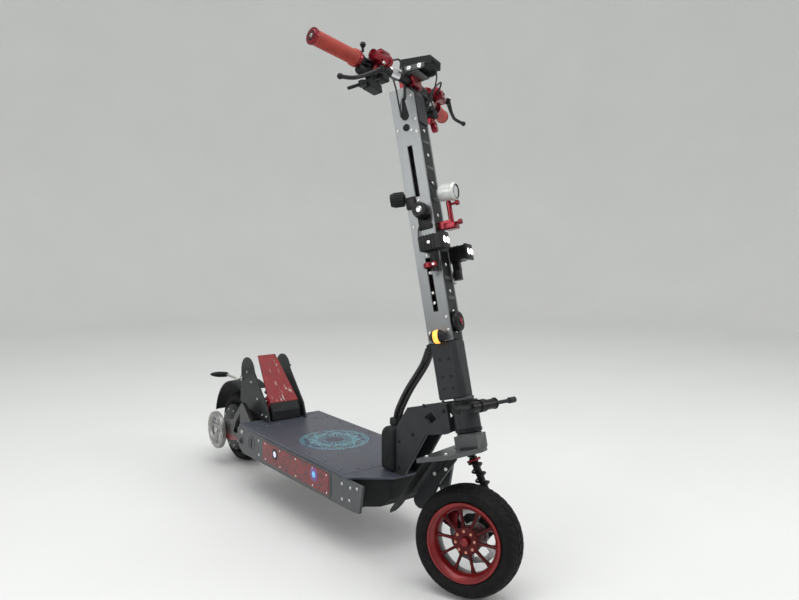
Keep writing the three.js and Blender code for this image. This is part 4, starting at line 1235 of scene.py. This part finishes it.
def cockpit():
    Maker().lathe([(11.2, 0), (13, 1), (13, 29), (11.2, 30)], (-98, -13.3, 1238), (1, 0.21, -0.05),
                  32, closed=True).done(
        "bar_sleeve", *ON_STEM, "polished_rod")
    mounts = Maker()
    mounts.box((-124, -20, 1219), (30, 24, 22), 4)
    mounts.box((-150, -29, 1210), (14, 12, 12), 3)
    mounts.done("control_box_mount", *ON_STEM, "black_plastic")
    ring = Maker()
    ring.lathe([(11.3, -13), (16, -12), (16, 12), (11.3, 13)], (-124, -19.3, 1239.4),
               (-1, -0.23, 0.05), 32, closed=True)
    ring.lathe([(11.3, -8), (15, -7), (15, 7), (11.3, 8)], (-196, -36, 1243), (-1, -0.235, 0.13),
               32, closed=True)
    ring.lathe([(0, -15), (9, -14), (11, -10), (11, 10), (9, 14), (0, 15)],
               (-190, -34, 1218), (-1, -0.2, 0.12), 28)
    ring.box((-164, -30, 1220), (34, 22, 18), 6)
    ring.done("control_rings", *ON_STEM, "black_plastic")
    buttons = Maker()
    for left in (-172, -156, -140):
        buttons.lathe([(0, -1), (4.6, -1), (4.6, 1.4), (3.6, 2.4), (0, 2.6)],
                      (left, -45, 1190), (0, -1, 0), 24)
    buttons.done("control_buttons", *ON_STEM, "crown_silver", slot="black_plastic")
    ball = Maker()
    ball.rod((-200, -20, 1254), (-200, -18, 1266), 3)
    ball.lathe([(0, -7), (5, -5), (7, 0), (5, 5), (0, 7)], (-200, -17, 1270), (0, 0.1, 1), 24)
    ball.done("bell_knob", *ON_STEM, "black_anodised")
    Maker().slab([(-6, 1289.6), (-6, 1291.6), (64, 1277.6), (64, 1275.6)], "x", -25, 25).done(
        "display_glass", *ON_STEM, "dark_glass", bevel=0.5)
    ribs = Maker()
    for step in range(5):
        ribs.box((0, 68, 1260 + step * 3.4), (46, 2.4, 1.4), 0.4)
    ribs.done("display_ribs", *ON_STEM, "soft_black")
    bracket = Maker()
    for left in (-35.4, 30.6):
        bracket.slab(
            [(-10, 1247), (-10, 1251.6), (50, 1251.6), (54, 1262), (20, 1266), (-8, 1270)],
            "x", left, left + 4.8)
    bracket.box((0, 16, 1249.4), (66, 34, 3), 0.8)
    bracket.done("display_bracket", *ON_STEM, "crown_silver", bevel=0.8)
    bolts = Maker()
    for side in (-1, 1):
        bolts.bolt((side * 35.4, 12, 1259), (side, 0, 0), 6, 3.2)
        bolts.bolt((side * 35.4, 40, 1257), (side, 0, 0), 6, 3.2)
    for left in (-15, 15):
        for forward in (-20, 8):
            bolts.bolt((left, forward, 1249.6), (0, 0, 1), 3.6, 2.2)
    bolts.done("display_bolts", *ON_STEM, "screw_steel")
    left_cluster = Maker()
    left_cluster.box((118, -24, 1222), (40, 30, 28), 5)
    left_cluster.box((150, -26, 1206), (34, 26, 22), 5)
    left_cluster.lathe([(11.3, -14), (16, -13), (16, 13), (11.3, 14)], (118, -18, 1239.2),
                       (1, -0.22, 0.05), 32, closed=True)
    left_cluster.done("left_switch", *ON_STEM, "black_plastic")
    crimson = Maker()
    crimson.lathe([(0, 0), (14, 0), (16, 2), (16, 12), (13, 15), (6, 16), (0, 15)],
                  (166, -38, 1178), (0.2, 1, 0), 32)
    crimson.lathe([(0, 0), (9, 0), (10, 2), (10, 12), (8, 14), (0, 14)], (104, -10, 1246),
                  (0, 0.4, 1), 28)
    crimson.box((150, -30, 1190), (26, 16, 20), 4)
    crimson.done("left_knobs", *ON_STEM, "crimson_anodised")
    silver = Maker()
    silver.bolt((130, -9, 1226), (0, 1, 0), 6, 3)
    silver.bolt((108, -9, 1218), (0, 1, 0), 6, 3)
    silver.bolt((166, -22.5, 1178), (0.2, 1, 0), 5, 3)
    silver.done("left_switch_bolts", *ON_STEM, "screw_steel")


# ---------------------------------------------------------------- cables
def rigid_cable(name, knots, radius):
    Maker().tube(curve_points(knots, 8), radius, 12).done(name, *ON_STEM, "cable_rubber", smooth=60)


def cables():
    rigid_cable("brake_hose_right", [(-128, 8, 1246), (-108, 12, 1256), (-78, 10, 1266),
                                     (-46, 2, 1256), (-34, -8, 1222), (-32.5, -14, 1190)], 2.4)
    rigid_cable("brake_hose_left", [(128, 8, 1246), (112, 26, 1254), (84, 40, 1252),
                                    (52, 34, 1230), (36, 16, 1196), (32.6, 0, 1168)], 2.4)
    rigid_cable("throttle_wire", [(-182, -34, 1188), (-150, -20, 1206), (-100, -10, 1226),
                                  (-60, -20, 1218), (-34, -30, 1180), (-32.2, -30, 1150)], 2.0)
    rigid_cable("display_wire", [(10, 62, 1252), (16, 58, 1236), (30, 40, 1214), (34, 18, 1186),
                                 (32.4, 4, 1160)], 1.8)
    rigid_cable("switch_wire", [(110, -24, 1210), (84, -14, 1200), (54, -20, 1190),
                                (36, -28, 1170), (32.2, -30, 1150)], 2.2)
    rigid_cable("lamp_wire", [(0, 22, 956), (-14, 14, 974), (-24, 10, 996), (-18, 9, 1020)], 1.8)
    for side, label, forward, along in ((-1, "right", 10, 828), (1, "left", 24, 806)):
        rigid_cable(f"spot_wire_{label}",
                    [(side * 46, forward - 30, along + 4), (side * 40, forward - 40, along + 22),
                     (side * 34, forward - 40, along + 44), (side * 31.4, -20, along + 58)], 1.8)
    hose_knots = [(54, WHEELBASE - 68, 172), (58, WHEELBASE - 96, 200),
                  (52, WHEELBASE - 110, 240), (40, WHEELBASE - 92, 286),
                  (30, WHEELBASE - 60, 322)]
    hose = Maker().tube(curve_points(hose_knots, 8), 2.4, 12).done(
        "front_brake_hose", FORK, None, "cable_rubber", smooth=60)
    list(FORK @ point(hose_knots[1]))
    list(FORK @ point(hose_knots[-1]))
    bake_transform(hose)
    deck_knots = [(0, 948, 350), (-4, 962, 376), (-4, 1000, 432), (4, 1050, 500)]
    start = [DECK @ point(p) for p in deck_knots]
    end = STEM @ point((0, -64, 588))
    world_knots = start + [end]
    for index, (sideways, back) in enumerate(((-7.4, 3.4), (7.0, 4.4), (0.6, -7.2))):
        offset = Vector((sideways, back, 0)) * MM
        path = [(p + offset) / MM for p in world_knots]
        path = [Vector((p.x, -p.y, p.z)) for p in path]
        cable = Maker().tube(curve_points(path, 10), 5.6, 14)
        obj = cable.done(f"loom_cable_{index + 1}", Matrix.Identity(4), None, "cable_rubber",
                         ("cable_loom",) if index == 0 else (), smooth=60, slot="cable_rubber")
        list(start[1])
        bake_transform(obj)
    Maker().box((0, 944, 338), (34, 30, 22), 6).done("loom_gland", *ON_DECK, "soft_black")
    Maker().box((0, -60, 592), (30, 18, 18), 5).done("loom_gland_upper", *ON_STEM, "soft_black")


stem_details()
stem_fittings()
handlebar_pieces()
cockpit()
cables()
